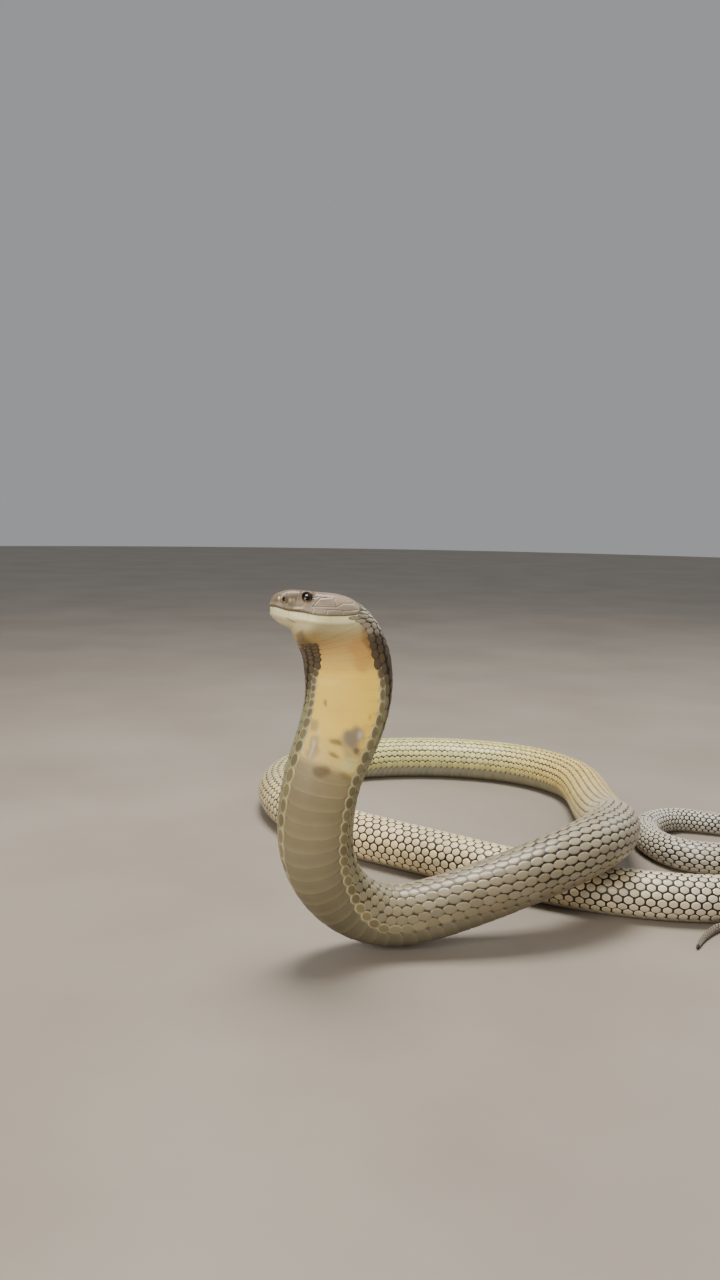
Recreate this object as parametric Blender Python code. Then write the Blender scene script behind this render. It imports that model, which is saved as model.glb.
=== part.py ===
"""King cobra as a still, life-size model, fore body raised, in metres, +Z up, resting on z = 0.

The body is one long loft along a route. The route, the girth and the way the belly faces are
named below, and each node is a length of that loft. The head and the nape are a second loft,
between the outline of the crown and nape and the outline of the chin and throat.
"""

import math

import bmesh
import bpy
import numpy as np
from mathutils import Vector

GAP = 0.0003
FLOOR = 0.0

# The route is laid out as seen from the camera, x to the right, y away from it.
# The plan shift then puts the origin under the middle of the whole animal.
PLAN_SHIFT = np.array([-0.2830, -1.4224, 0.0])

# How far the centre line sits above the floor, in half heights: the belly is pressed flat.
SINK = 0.93

# Directions that the belly faces along the raised neck and the lifted near strand.
BELLY_FRONT = (-0.06, -1.0, 0.0)
BELLY_FOOT = (-0.25, -0.88, -0.40)
BELLY_ROLLED = (0.0, -0.50, -0.87)
BELLY_DOWN = (0.0, 0.0, -1.0)

# Raised neck from under the hood to the foot of the bend: x, y, z of the centre line.
NECK_ROUTE = (
    (-0.0100, 1.0690, 0.2930),
    (-0.0115, 1.0590, 0.2690),
    (-0.0170, 1.0500, 0.2460),
    (-0.0250, 1.0420, 0.2230),
    (-0.0335, 1.0360, 0.1990),
    (-0.0390, 1.0330, 0.1740),
    (-0.0415, 1.0340, 0.1480),
    (-0.0405, 1.0380, 0.1230),
    (-0.0350, 1.0450, 0.0990),
    (-0.0240, 1.0540, 0.0760),
    (-0.0060, 1.0640, 0.0550),
    (0.0180, 1.0730, 0.0410),
)

# The near strand climbs over the strand that it crosses and comes down again behind it.
CROSSING_ROUTE = (
    (0.0520, 1.0800, 0.0370),
    (0.1000, 1.0870, 0.0470),
    (0.1540, 1.0990, 0.0630),
    (0.2080, 1.1180, 0.0790),
    (0.2540, 1.1480, 0.0890),
    (0.2840, 1.1850, 0.0910),
    (0.3050, 1.2350, 0.0860),
    (0.3210, 1.3050, 0.0700),
    (0.3320, 1.3900, 0.0520),
    (0.3420, 1.4900, 0.0390),
)

# Strands that lie on the floor: x and y only, the height follows from the girth.
BACK_ROUTE = (
    (0.3520, 1.5850),
    (0.3480, 1.6550),
    (0.3200, 1.7150),
    (0.2700, 1.7620),
    (0.2000, 1.7920),
    (0.1250, 1.8020),
    (0.0500, 1.7940),
    (-0.0200, 1.7680),
    (-0.0750, 1.7180),
    (-0.1080, 1.6550),
    (-0.1165, 1.5820),
    (-0.0990, 1.5070),
    (-0.0620, 1.4370),
    (-0.0060, 1.3790),
    (0.0820, 1.3160),
    (0.1850, 1.2460),
    (0.2800, 1.1960),
    (0.3500, 1.1760),
    (0.4170, 1.1720),
)

# Outside the picture the body turns back on itself, and the tail makes a loop and comes round.
TURN_ROUTE = (
    (0.4850, 1.1830),
    (0.5450, 1.2030),
    (0.5850, 1.2400),
    (0.5780, 1.2920),
    (0.5320, 1.3200),
    (0.4720, 1.3230),
)
TAIL_ROUTE = (
    (0.4250, 1.3420),
    (0.4040, 1.3800),
    (0.4000, 1.4300),
    (0.4200, 1.4800),
    (0.4600, 1.5080),
    (0.5200, 1.4950),
    (0.5900, 1.4680),
    (0.6550, 1.4200),
    (0.6980, 1.3450),
    (0.7000, 1.2600),
    (0.6600, 1.1850),
    (0.5900, 1.1450),
    (0.5150, 1.1360),
    (0.4600, 1.1420),
    (0.4250, 1.1450),
    (0.4040, 1.1370),
    (0.3870, 1.1200),
    (0.3740, 1.1020),
    (0.3660, 1.0870),
)

# Girth along the body: share of the way from hood to tail tip, half width, half height.
GIRTH = (
    (0.000, 0.0455, 0.0175),
    (0.012, 0.0425, 0.0190),
    (0.026, 0.0393, 0.0220),
    (0.042, 0.0385, 0.0250),
    (0.060, 0.0360, 0.0280),
    (0.085, 0.0345, 0.0310),
    (0.120, 0.0335, 0.0320),
    (0.220, 0.0335, 0.0320),
    (0.330, 0.0350, 0.0335),
    (0.420, 0.0345, 0.0330),
    (0.520, 0.0325, 0.0305),
    (0.600, 0.0295, 0.0280),
    (0.650, 0.0270, 0.0262),
    (0.720, 0.0225, 0.0220),
    (0.770, 0.0192, 0.0186),
    (0.815, 0.0158, 0.0153),
    (0.870, 0.0130, 0.0128),
    (0.920, 0.0095, 0.0093),
    (0.960, 0.0065, 0.0064),
    (0.985, 0.0045, 0.0045),
    (1.000, 0.0022, 0.0022),
)

# Share of the way at which the belly has turned to each direction.
BELLY_TURN = (
    (0.000, BELLY_FRONT),
    (0.050, BELLY_FRONT),
    (0.082, BELLY_FOOT),
    (0.115, BELLY_ROLLED),
    (0.150, BELLY_ROLLED),
    (0.190, BELLY_DOWN),
    (1.000, BELLY_DOWN),
)

# Belly scutes: each is raised at its free, tailward edge and tucked under the one before it.
SCUTE_LENGTH = 0.0134
SCUTE_LIFT = 0.0007
SCUTE_STEP = 0.0014
SCUTE_HALF_ANGLE = math.radians(55.0)
SCUTED_NODES = ("neck", "neck_foot", "near_body", "crossing_body")

# Nodes of the body: name, share of the way at its end, ring spacing, points around, material.
BODY_NODES = (
    ("neck", 0.0520, 0.0080, 20, "belly_olive"),
    ("neck_foot", 0.0920, 0.0090, 20, "belly_olive"),
    ("near_body", 0.1370, 0.0140, 20, "scale_straw"),
    ("crossing_body", 0.1820, 0.0140, 20, "scale_straw"),
    ("rear_body", 0.2500, 0.0170, 18, "scale_straw"),
    ("right_bend", 0.3050, 0.0170, 18, "scale_straw"),
    ("back_body", 0.3700, 0.0190, 18, "scale_straw"),
    ("left_bend_back", 0.4250, 0.0160, 18, "scale_straw"),
    ("left_bend_front", 0.4850, 0.0160, 18, "scale_straw"),
    ("under_body", 0.5900, 0.0200, 18, "scale_cream"),
    ("right_body", 0.6550, 0.0180, 16, "scale_cream"),
    ("right_turn_front", 0.6900, 0.0140, 16, "scale_cream"),
    ("right_turn_back", 0.7250, 0.0130, 16, "scale_cream"),
    ("tail_root", 0.7550, 0.0130, 14, "scale_cream"),
    ("tail_loop", 0.8000, 0.0110, 14, "tail_grey"),
    ("tail_outer", 0.8650, 0.0150, 12, "tail_grey"),
    ("tail_round", 0.9300, 0.0130, 12, "tail_grey"),
    ("tail_tip", 1.0000, 0.0090, 10, "tail_grey"),
)

# Head and nape, in the plane of the picture: u runs back from the occiput, w up from the
# corner of the mouth. Crown and nape, then chin and throat, matched point by point.
CROWN = (
    (-0.0806, 0.0102),
    (-0.0791, 0.0147),
    (-0.0750, 0.0202),
    (-0.0682, 0.0230),
    (-0.0608, 0.0242),
    (-0.0510, 0.0237),
    (-0.0408, 0.0224),
    (-0.0306, 0.0214),
    (-0.0190, 0.0203),
    (-0.0085, 0.0180),
    (0.0000, 0.0148),
    (0.0080, 0.0100),
    (0.0160, 0.0040),
    (0.0235, -0.0040),
    (0.0300, -0.0135),
    (0.0355, -0.0245),
    (0.0400, -0.0360),
    (0.0428, -0.0480),
    (0.0440, -0.0590),
)
THROAT = (
    (-0.0806, 0.0054),
    (-0.0799, 0.0010),
    (-0.0770, -0.0038),
    (-0.0700, -0.0094),
    (-0.0620, -0.0135),
    (-0.0598, -0.0160),
    (-0.0590, -0.0182),
    (-0.0582, -0.0205),
    (-0.0573, -0.0228),
    (-0.0565, -0.0252),
    (-0.0557, -0.0275),
    (-0.0547, -0.0298),
    (-0.0535, -0.0322),
    (-0.0520, -0.0350),
    (-0.0505, -0.0382),
    (-0.0492, -0.0420),
    (-0.0480, -0.0468),
    (-0.0472, -0.0525),
    (-0.0470, -0.0590),
)
HEAD_HALF_WIDTH = (
    0.0040, 0.0090, 0.0135, 0.0162, 0.0180, 0.0198, 0.0213, 0.0228, 0.0243, 0.0252,
    0.0254, 0.0250, 0.0242, 0.0232, 0.0221, 0.0210, 0.0198, 0.0186, 0.0175,
)
MOUTH = (
    (-0.0820, 0.0082),
    (-0.0780, 0.0073),
    (-0.0737, 0.0058),
    (-0.0693, 0.0042),
    (-0.0650, 0.0031),
    (-0.0588, 0.0024),
    (-0.0510, 0.0013),
    (-0.0439, -0.0003),
    (-0.0375, -0.0015),
    (-0.0258, -0.0021),
    (-0.0098, -0.0018),
    (0.0007, -0.0008),
    (0.0051, 0.0002),
    (0.0120, 0.0018),
)
MOUTH_CORNER_STATION = 11.9
HEAD_PIVOT = np.array([-0.0100, 1.0600, 0.3570])
NECK_TOP_Y = 1.0690
HEAD_YAW = math.radians(14.0)
HEAD_ROLL = math.radians(7.0)
ROLL_AXIS_W = 0.003
BOXY_HEAD = 3.6
ROUND_NECK = 2.1
HEAD_RINGS = 30
HEAD_UPPER_POINTS = 14
HEAD_LOWER_POINTS = 11
NAPE_POINTS = 24

EYE_RADIUS = 0.0054
EYE_PLACE = (-0.0474, 0.0142)
EYE_LATERAL = 0.0151
NOSTRIL_RADIUS = 0.0014
NOSTRIL_PLACE = (-0.0700, 0.0146)
NOSTRIL_LATERAL = 0.0147

# A snake has no lids: the eye looks out and a little up through a raised ring of small scales.
EYE_TILT = math.radians(28.0)
EYE_RING_RADIUS = 0.0055
EYE_RING_THICKNESS = 0.0010
EYE_RING_OUT = 0.0032

# The lips swell beside the mouth line and turn in at it.
LIP_SWELL = 0.0006
LIP_SWELL_AT = 0.0024
LIP_SWELL_WIDTH = 0.0018
LIP_TUCK = 0.0006
LIP_TUCK_WIDTH = 0.0008
LIP_POINTS = (0.0009, 0.0024, 0.0042)
LIP_FADE = (10.0, 11.6)

# Plates of the throat on the hood, in stations.
THROAT_PLATES = 7
THROAT_PLATE_STEP = 0.14
TWIST_START = 6.0
TWIST_END = 13.5

MATERIALS = {
    "head_olive": ((0.36, 0.31, 0.24), 0.38),
    "jaw_cream": ((0.74, 0.68, 0.50), 0.40),
    "throat_ochre": ((0.68, 0.50, 0.22), 0.45),
    "belly_olive": ((0.42, 0.36, 0.24), 0.42),
    "scale_straw": ((0.46, 0.40, 0.25), 0.42),
    "scale_cream": ((0.60, 0.52, 0.42), 0.42),
    "tail_grey": ((0.34, 0.31, 0.26), 0.45),
    "eye_bronze": ((0.05, 0.03, 0.02), 0.08),
}


def clear_scene():
    """Remove the objects that the file opens with."""
    for obj in list(bpy.data.objects):
        bpy.data.objects.remove(obj, do_unlink=True)


def material(name):
    """Return the named skin finish as a Principled material."""
    if name in bpy.data.materials:
        return bpy.data.materials[name]
    colour, roughness = MATERIALS[name]
    made = bpy.data.materials.new(name)
    made.use_nodes = True
    shader = made.node_tree.nodes["Principled BSDF"]
    shader.inputs["Base Color"].default_value = (*colour, 1.0)
    shader.inputs["Roughness"].default_value = roughness
    shader.inputs["Metallic"].default_value = 0.0
    return made


def unit(vectors):
    """Scale each row to length one."""
    return vectors / np.linalg.norm(vectors, axis=-1, keepdims=True)


def spline(knots, values, at):
    """Natural cubic spline through values at the knots, read at the given places."""
    knots = np.asarray(knots, float)
    values = np.asarray(values, float)
    at = np.asarray(at, float)
    count = len(knots)
    step = np.diff(knots)
    system = np.eye(count)
    right = np.zeros_like(values)
    for i in range(1, count - 1):
        system[i, i - 1] = step[i - 1]
        system[i, i] = 2.0 * (step[i - 1] + step[i])
        system[i, i + 1] = step[i]
        rise_after = (values[i + 1] - values[i]) / step[i]
        rise_before = (values[i] - values[i - 1]) / step[i - 1]
        right[i] = 6.0 * (rise_after - rise_before)
    bend = np.linalg.solve(system, right)
    span = np.clip(np.searchsorted(knots, at, side="right") - 1, 0, count - 2)
    width = step[span]
    before = (knots[span + 1] - at) / width
    after = (at - knots[span]) / width
    if values.ndim > 1:
        width, before, after = width[:, None], before[:, None], after[:, None]
    curve = before * values[span] + after * values[span + 1]
    curve += ((before**3 - before) * bend[span] + (after**3 - after) * bend[span + 1]) * width**2 / 6.0
    return curve


def smooth_between(stations, at):
    """Read a table of (place, value, value, ...) with a shape-keeping smooth step between rows."""
    table = np.asarray(stations, float)
    place = table[:, 0]
    rows = table[:, 1:]
    slope = np.gradient(rows, place, axis=0)
    span = np.clip(np.searchsorted(place, at, side="right") - 1, 0, len(place) - 2)
    width = (place[span + 1] - place[span])[:, None]
    t = ((at - place[span]) / width[:, 0])[:, None]
    start = (1 + 2 * t) * (1 - t) ** 2 * rows[span] + t * (1 - t) ** 2 * width * slope[span]
    finish = t * t * (3 - 2 * t) * rows[span + 1] + t * t * (t - 1) * width * slope[span + 1]
    return start + finish


class Body:
    """The long loft from under the hood to the tip of the tail."""

    def __init__(self):
        flat = BACK_ROUTE + TURN_ROUTE + TAIL_ROUTE
        raised = np.array(NECK_ROUTE + CROSSING_ROUTE)
        points = np.vstack([raised, [(x, y, 0.03) for x, y in flat]])
        for _ in range(3):
            chord = np.concatenate([[0.0], np.cumsum(np.linalg.norm(np.diff(points, axis=0), axis=1))])
            share = chord / chord[-1]
            half_height = smooth_between(GIRTH, share)[:, 1]
            points[len(raised):, 2] = SINK * half_height[len(raised):]
        self.knots = chord
        fine = np.linspace(0.0, chord[-1], 4001)
        path = spline(chord, points, fine)
        walked = np.concatenate([[0.0], np.cumsum(np.linalg.norm(np.diff(path, axis=0), axis=1))])
        self.length = walked[-1]
        self.walked = walked
        self.path = path

    def centre(self, at):
        """Points of the centre line at these distances."""
        return np.stack([np.interp(at, self.walked, self.path[:, i]) for i in range(3)], axis=1)

    def frame(self, at):
        """Centre, tangent, belly direction and side direction at these distances."""
        at = np.asarray(at, float)
        reach = 0.004
        ahead = self.centre(np.minimum(at + reach, self.length))
        behind = self.centre(np.maximum(at - reach, 0.0))
        tangent = unit(ahead - behind)
        share = at / self.length
        places = [row[0] for row in BELLY_TURN]
        belly = np.stack([np.interp(share, places, [row[1][i] for row in BELLY_TURN]) for i in range(3)], axis=1)
        belly -= np.sum(belly * tangent, axis=1, keepdims=True) * tangent
        belly = unit(belly)
        side = np.cross(tangent, belly)
        return self.centre(at), tangent, belly, side

    def ring(self, at, around, lift=0.0):
        """Rings of the skin from the middle of the back round, the belly scutes raised by the lift."""
        at = np.asarray(at, float)
        centre, _, belly, side = self.frame(at)
        angle = np.linspace(0.0, 2.0 * math.pi, around, endpoint=False)
        on_belly = np.abs(angle - math.pi) < SCUTE_HALF_ANGLE
        raised = np.broadcast_to(lift, at.shape)[:, None, None] * on_belly[None, :, None]
        girth = smooth_between(GIRTH, at / self.length)
        across = np.sin(angle)[None, :, None] * (girth[:, 0][:, None, None] + raised) * side[:, None, :]
        up = -np.cos(angle)[None, :, None] * (girth[:, 1][:, None, None] + raised) * belly[:, None, :]
        rings = centre[:, None, :] + across + up
        rings[:, :, 2] = np.maximum(rings[:, :, 2], FLOOR)
        return rings + PLAN_SHIFT


def add_mesh(name, vertices, faces, finish):
    """Make one closed, smooth-shaded node from a loft."""
    mesh = bpy.data.meshes.new(name)
    mesh.from_pydata([tuple(v) for v in vertices], [], faces)
    model = bmesh.new()
    model.from_mesh(mesh)
    bmesh.ops.recalc_face_normals(model, faces=model.faces)
    model.to_mesh(mesh)
    model.free()
    mesh.validate()
    mesh.shade_smooth()
    obj = bpy.data.objects.new(name, mesh)
    bpy.context.collection.objects.link(obj)
    mesh.materials.append(material(finish))
    return obj


def loft(rings):
    """Vertices and faces of a closed tube through rings of equal count, with flat end caps."""
    count = rings.shape[1]
    vertices = list(rings.reshape(-1, 3))
    faces = []
    for row in range(len(rings) - 1):
        for i in range(count):
            j = (i + 1) % count
            a, b = row * count + i, row * count + j
            faces.append((a, b, b + count, a + count))
    faces.append(tuple(range(count)))
    last = (len(rings) - 1) * count
    faces.append(tuple(last + i for i in range(count)))
    return vertices, faces


def body_node(body, name, start, end, spacing, around, finish):
    """One length of the body, with half the gap left free at each end."""
    first = start * body.length + GAP / 2
    last = end * body.length - (GAP / 2 if end < 1.0 else 0.0)
    if name in SCUTED_NODES:
        count = round((last - first) / SCUTE_LENGTH)
        edges = np.linspace(first, last, count + 1)
        places = np.stack([edges[:-1], edges[1:] - SCUTE_STEP], axis=1).ravel()
        lift = np.tile([0.0, SCUTE_LIFT], count)
        rings = body.ring(np.append(places, last), around, np.append(lift, 0.0))
    else:
        count = max(3, round((last - first) / spacing) + 1)
        rings = body.ring(np.linspace(first, last, count), around)
    return add_mesh(name, *loft(rings), finish)


class Head:
    """The head and nape: rings between the crown line and the throat line."""

    def __init__(self):
        self.stations = len(CROWN) - 1
        self.corner = MOUTH_CORNER_STATION

    def outline(self, at):
        """Crown point, throat point and half width at a station."""
        knots = np.arange(self.stations + 1)
        crown = spline(knots, CROWN, at)
        throat = spline(knots, THROAT, at)
        width = spline(knots, HEAD_HALF_WIDTH, at)
        return crown, throat, width

    def section(self, at, angle):
        """Points (u, half width, w) of one ring from crown (0) to throat (pi), on one side."""
        crown, throat, width = self.outline(np.array([at]))
        share = at / self.stations
        blend = min(1.0, max(0.0, (share - 0.55) / 0.40))
        power = BOXY_HEAD + (ROUND_NECK - BOXY_HEAD) * blend * blend * (3 - 2 * blend)
        lower = 2.3 + (ROUND_NECK - 2.3) * blend
        cosine, sine = np.cos(angle), np.sin(angle)
        use = np.where(cosine > 0, power, lower)
        along = np.sign(cosine) * np.abs(cosine) ** (2.0 / use)
        out = np.abs(sine) ** (2.0 / use)
        middle = (crown[0] + throat[0]) / 2
        half = (crown[0] - throat[0]) / 2
        plane = middle[None, :] + along[:, None] * half[None, :]
        return np.stack([plane[:, 0], out * width[0], plane[:, 1]], axis=1)

    def mouth_angle(self, at, offset):
        """Angle at which a ring meets the mouth line, moved up by the offset."""
        line = np.array(MOUTH)
        angle = np.linspace(0.02, math.pi - 0.02, 400)
        points = self.section(at, angle)
        height = np.interp(points[:, 0], line[:, 0], line[:, 1]) + offset
        above = points[:, 2] - height
        below = np.nonzero(above < 0)[0]
        k = below[0]
        part = above[k - 1] / (above[k - 1] - above[k])
        return angle[k - 1] + part * (angle[k] - angle[k - 1])

    def place(self, at, points):
        """Turn ring points (u, side, w) into world points; yaw and roll fade out down the nape."""
        share = min(1.0, max(0.0, (at - 8.0) / (self.stations - 8.0)))
        fade = share * share * (3 - 2 * share)
        yaw = HEAD_YAW * (1.0 - fade)
        depth = HEAD_PIVOT[1] + (NECK_TOP_Y - HEAD_PIVOT[1]) * fade
        roll = HEAD_ROLL * (1.0 - fade)
        u, rise = points[:, 0], points[:, 2] - ROLL_AXIS_W
        side = points[:, 1] * math.cos(roll) - rise * math.sin(roll)
        w = ROLL_AXIS_W + points[:, 1] * math.sin(roll) + rise * math.cos(roll)
        x = HEAD_PIVOT[0] + u * math.cos(yaw) + side * math.sin(yaw)
        y = depth + u * math.sin(yaw) - side * math.cos(yaw)
        z = HEAD_PIVOT[2] + w
        return np.stack([x, y, z], axis=1) + PLAN_SHIFT

    def lip(self, at, away):
        """How far the skin stands out at this distance from the mouth line."""
        share = min(1.0, max(0.0, (at - LIP_FADE[0]) / (LIP_FADE[1] - LIP_FADE[0])))
        swell = LIP_SWELL * np.exp(-(((away - LIP_SWELL_AT) / LIP_SWELL_WIDTH) ** 2))
        tuck = LIP_TUCK * np.exp(-((away / LIP_TUCK_WIDTH) ** 2))
        return (swell - tuck) * (1.0 - share)

    def lipped_side(self, at, start, end, count):
        """Near side of a jaw from its middle line at the start angle to the mouth line at the end."""
        fine = self.section(at, np.linspace(start, end, 300))
        walked = np.concatenate([[0.0], np.cumsum(np.linalg.norm(np.diff(fine, axis=0), axis=1))])
        shrink = min(1.0, 0.5 * walked[-1] / LIP_POINTS[-1])
        close = walked[-1] - shrink * np.array(LIP_POINTS[::-1] + (0.0,))
        lengths = np.append(np.linspace(0.0, close[0], count - len(close) + 1)[:-1], close)
        points = np.stack([np.interp(lengths, walked, fine[:, i]) for i in range(3)], axis=1)
        points[1:, 1] += self.lip(at, walked[-1] - lengths[1:])
        return points

    def upper_ring(self, at):
        """Ring of the upper head: crown to mouth line on both sides, closed straight across."""
        near = self.lipped_side(at, 0.0, self.mouth_angle(at, GAP / 2), HEAD_UPPER_POINTS)
        far = near[1:][::-1] * np.array([1, -1, 1])
        return self.place(at, np.vstack([near, far]))

    def lower_ring(self, at):
        """Ring of the lower jaw: mouth line to throat on both sides."""
        near = self.lipped_side(at, math.pi, self.mouth_angle(at, -GAP / 2), HEAD_LOWER_POINTS)
        far = near[1:][::-1] * np.array([1, -1, 1])
        return self.place(at, np.vstack([near, far]))

    def nape_ring(self, at, shift=0.0, lift=0.0):
        """Full ring behind the mouth, moved along its own axis, its belly side raised by the lift."""
        angle = np.linspace(0.0, 2.0 * math.pi, NAPE_POINTS, endpoint=False)
        near = self.section(at, angle)
        near[:, 1] *= np.sign(np.sin(angle) + 1e-12)
        crown, throat, _ = self.outline(np.array([at]))
        axis = unit(crown - throat)[0]
        share = min(1.0, max(0.0, (at - TWIST_START) / (TWIST_END - TWIST_START)))
        belly = math.pi - math.pi / 2 * share * share * (3 - 2 * share)
        on_plate = np.abs(angle - belly) < SCUTE_HALF_ANGLE
        middle = (crown[0] + throat[0]) / 2
        near += lift * on_plate[:, None] * unit(near - np.array([middle[0], 0.0, middle[1]]))
        near[:, 0] += shift * axis[1]
        near[:, 2] -= shift * axis[0]
        return self.place(at, near)

    def eye_frame(self, side):
        """World centre of an eye and the direction in which it looks."""
        spot = np.array([EYE_PLACE[0], side * EYE_LATERAL, EYE_PLACE[1]])
        gaze = np.array([0.0, side * math.cos(EYE_TILT), math.sin(EYE_TILT)])
        centre, ahead = self.place(0.0, np.array([spot, spot + gaze]))
        return centre, ahead - centre


def shape(target, cutters, operation):
    """Join closed forms to a node, or cut them out of it, and remove them."""
    for tool in cutters:
        tool.hide_render = True
        tool.display_type = "WIRE"
        step = target.modifiers.new("shape", "BOOLEAN")
        step.operation = operation
        step.solver = "EXACT"
        step.object = tool
    bpy.context.view_layer.objects.active = target
    for step in list(target.modifiers):
        bpy.ops.object.modifier_apply(modifier=step.name)
    for tool in cutters:
        bpy.data.objects.remove(tool, do_unlink=True)


def ball(name, radius, centre, finish):
    """A small sphere, for an eye or for the tool that cuts its socket."""
    bpy.ops.mesh.primitive_uv_sphere_add(segments=16, ring_count=10, radius=radius, location=centre)
    obj = bpy.context.object
    obj.name = name
    obj.data.materials.append(material(finish))
    obj.data.shade_smooth()
    return obj


def eye_ring(name, centre, gaze):
    """The raised ring round an eye, square to its gaze."""
    bpy.ops.mesh.primitive_torus_add(
        major_segments=20,
        minor_segments=8,
        major_radius=EYE_RING_RADIUS,
        minor_radius=EYE_RING_THICKNESS,
        location=tuple(centre + EYE_RING_OUT * gaze),
        rotation=Vector(tuple(gaze)).to_track_quat("Z", "Y").to_euler(),
    )
    obj = bpy.context.object
    obj.name = name
    return obj


def make_head(head):
    """Upper head with ringed eyes and nostrils, lower jaw and eyes."""
    stations = np.linspace(0.0, head.corner, HEAD_RINGS)
    upper = add_mesh("head", *loft(np.array([head.upper_ring(at) for at in stations])), "head_olive")
    lower = add_mesh("lower_jaw", *loft(np.array([head.lower_ring(at) for at in stations])), "jaw_cream")
    tools = []
    rings = []
    for side, label in ((1.0, "left"), (-1.0, "right")):
        centre, gaze = head.eye_frame(side)
        rings.append(eye_ring("ring_" + label, centre, gaze))
        ball("eye_" + label, EYE_RADIUS, centre, "eye_bronze")
        tools.append(ball("socket_" + label, EYE_RADIUS + GAP, centre, "eye_bronze"))
        spot = np.array([[NOSTRIL_PLACE[0], side * NOSTRIL_LATERAL, NOSTRIL_PLACE[1]]])
        centre = head.place(0.0, spot)[0]
        tools.append(ball("nostril_" + label, NOSTRIL_RADIUS, centre, "eye_bronze"))
    shape(upper, rings, "UNION")
    shape(upper, tools, "DIFFERENCE")
    return upper, lower


def make_nape(head, body):
    """The hood: from the corner of the mouth down to the neck, with the plates of the throat."""
    edges = np.linspace(head.corner, head.stations, THROAT_PLATES + 1)
    rings = [head.nape_ring(head.corner, GAP)]
    for edge in edges[1:]:
        rings.append(head.nape_ring(edge - THROAT_PLATE_STEP, 0.0, SCUTE_LIFT))
        rings.append(head.nape_ring(edge))
    neck_top = body.ring(np.array([0.0]), NAPE_POINTS)[0]
    order = (3 * NAPE_POINTS // 4 - np.arange(NAPE_POINTS)) % NAPE_POINTS
    rings[-1] = neck_top[order] + np.array([0.0, 0.0, GAP / 2])
    return add_mesh("hood", *loft(np.array(rings)), "throat_ochre")


def main():
    """Build every node of the animal."""
    clear_scene()
    body = Body()
    head = Head()
    make_head(head)
    make_nape(head, body)
    start = 0.0
    for name, end, spacing, around, finish in BODY_NODES:
        body_node(body, name, start, end, spacing, around, finish)
        start = end
    corners = np.array([obj.matrix_world @ v.co for obj in bpy.data.objects for v in obj.data.vertices])
    low, high = corners.min(axis=0), corners.max(axis=0)
    print("length of body", round(body.length, 4))
    print("low", low.round(4), "high", high.round(4), "middle", ((low + high) / 2).round(4))


main()
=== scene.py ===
"""King cobra with its fore body raised, as a still, life-size museum model.

The skin is one closed surface laid along the same route, girth and head outlines as the solids.
Dorsal scales, belly plates and tail plates are solid plates laid over it by Geometry Nodes.
Places on the animal are given by the distance along the body, from under the hood towards the
tail (the head and nape have negative distances), and by the share of the way round the body,
from the middle of the back at 0 over the middle of the belly at 0.5.
"""

from __future__ import annotations

import logging
import math
from collections.abc import Iterable, Sequence
from dataclasses import dataclass, field
from enum import Enum

import bpy
import numpy as np
from mathutils import Matrix


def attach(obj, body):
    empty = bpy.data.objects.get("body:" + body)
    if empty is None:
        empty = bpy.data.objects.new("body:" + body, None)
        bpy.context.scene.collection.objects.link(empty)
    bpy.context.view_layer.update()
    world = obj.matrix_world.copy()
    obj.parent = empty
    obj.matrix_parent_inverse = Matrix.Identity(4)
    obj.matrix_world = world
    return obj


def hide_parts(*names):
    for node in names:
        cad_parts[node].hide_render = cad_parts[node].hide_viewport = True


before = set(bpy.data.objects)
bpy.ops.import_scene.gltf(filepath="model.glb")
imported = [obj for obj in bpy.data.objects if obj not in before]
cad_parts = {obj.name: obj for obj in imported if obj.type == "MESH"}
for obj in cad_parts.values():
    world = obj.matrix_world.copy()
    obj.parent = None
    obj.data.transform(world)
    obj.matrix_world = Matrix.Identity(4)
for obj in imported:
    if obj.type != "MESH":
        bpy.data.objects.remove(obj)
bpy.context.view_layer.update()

LOG = logging.getLogger("king_cobra")
Array = np.ndarray
Paint = tuple[int, int, int]

SEED = 41
PLAN_SHIFT = np.array([-0.2830, -1.4224, 0.0])
SINK = 0.93
COAT_DEPTH = 0.0006
COAT_FIRST_STATION = 8.0
COAT_FULL_STATION = 11.5
NAPE_STEP = 0.008
FLOOR_GAP = 0.00005
BAKE_ROWS = 4
BAKE_ROW_LENGTH = 1.06
BAKE_LEAD = 0.15
BAKE_MARGIN = 0.002
BAKE_PATCH = 0.003
BAKE_PLATE_LENGTH = 0.014
BAKE_PLATE_SHARE = 0.06
MILLIMETRES = 1000.0

BELLY_FRONT = (-0.06, -1.0, 0.0)
BELLY_FOOT = (-0.25, -0.88, -0.40)
BELLY_ROLLED = (0.0, -0.50, -0.87)
BELLY_DOWN = (0.0, 0.0, -1.0)

# Centre line of the body, from under the hood to the tail: x, y and, off the floor, z.
NECK_ROUTE = (
    (-0.0100, 1.0690, 0.2930), (-0.0115, 1.0590, 0.2690), (-0.0170, 1.0500, 0.2460),
    (-0.0250, 1.0420, 0.2230), (-0.0335, 1.0360, 0.1990), (-0.0390, 1.0330, 0.1740),
    (-0.0415, 1.0340, 0.1480), (-0.0405, 1.0380, 0.1230), (-0.0350, 1.0450, 0.0990),
    (-0.0240, 1.0540, 0.0760), (-0.0060, 1.0640, 0.0550), (0.0180, 1.0730, 0.0410),
)
CROSSING_ROUTE = (
    (0.0520, 1.0800, 0.0370), (0.1000, 1.0870, 0.0470), (0.1540, 1.0990, 0.0630),
    (0.2080, 1.1180, 0.0790), (0.2540, 1.1480, 0.0890), (0.2840, 1.1850, 0.0910),
    (0.3050, 1.2350, 0.0860), (0.3210, 1.3050, 0.0700), (0.3320, 1.3900, 0.0520),
    (0.3420, 1.4900, 0.0390),
)
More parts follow.
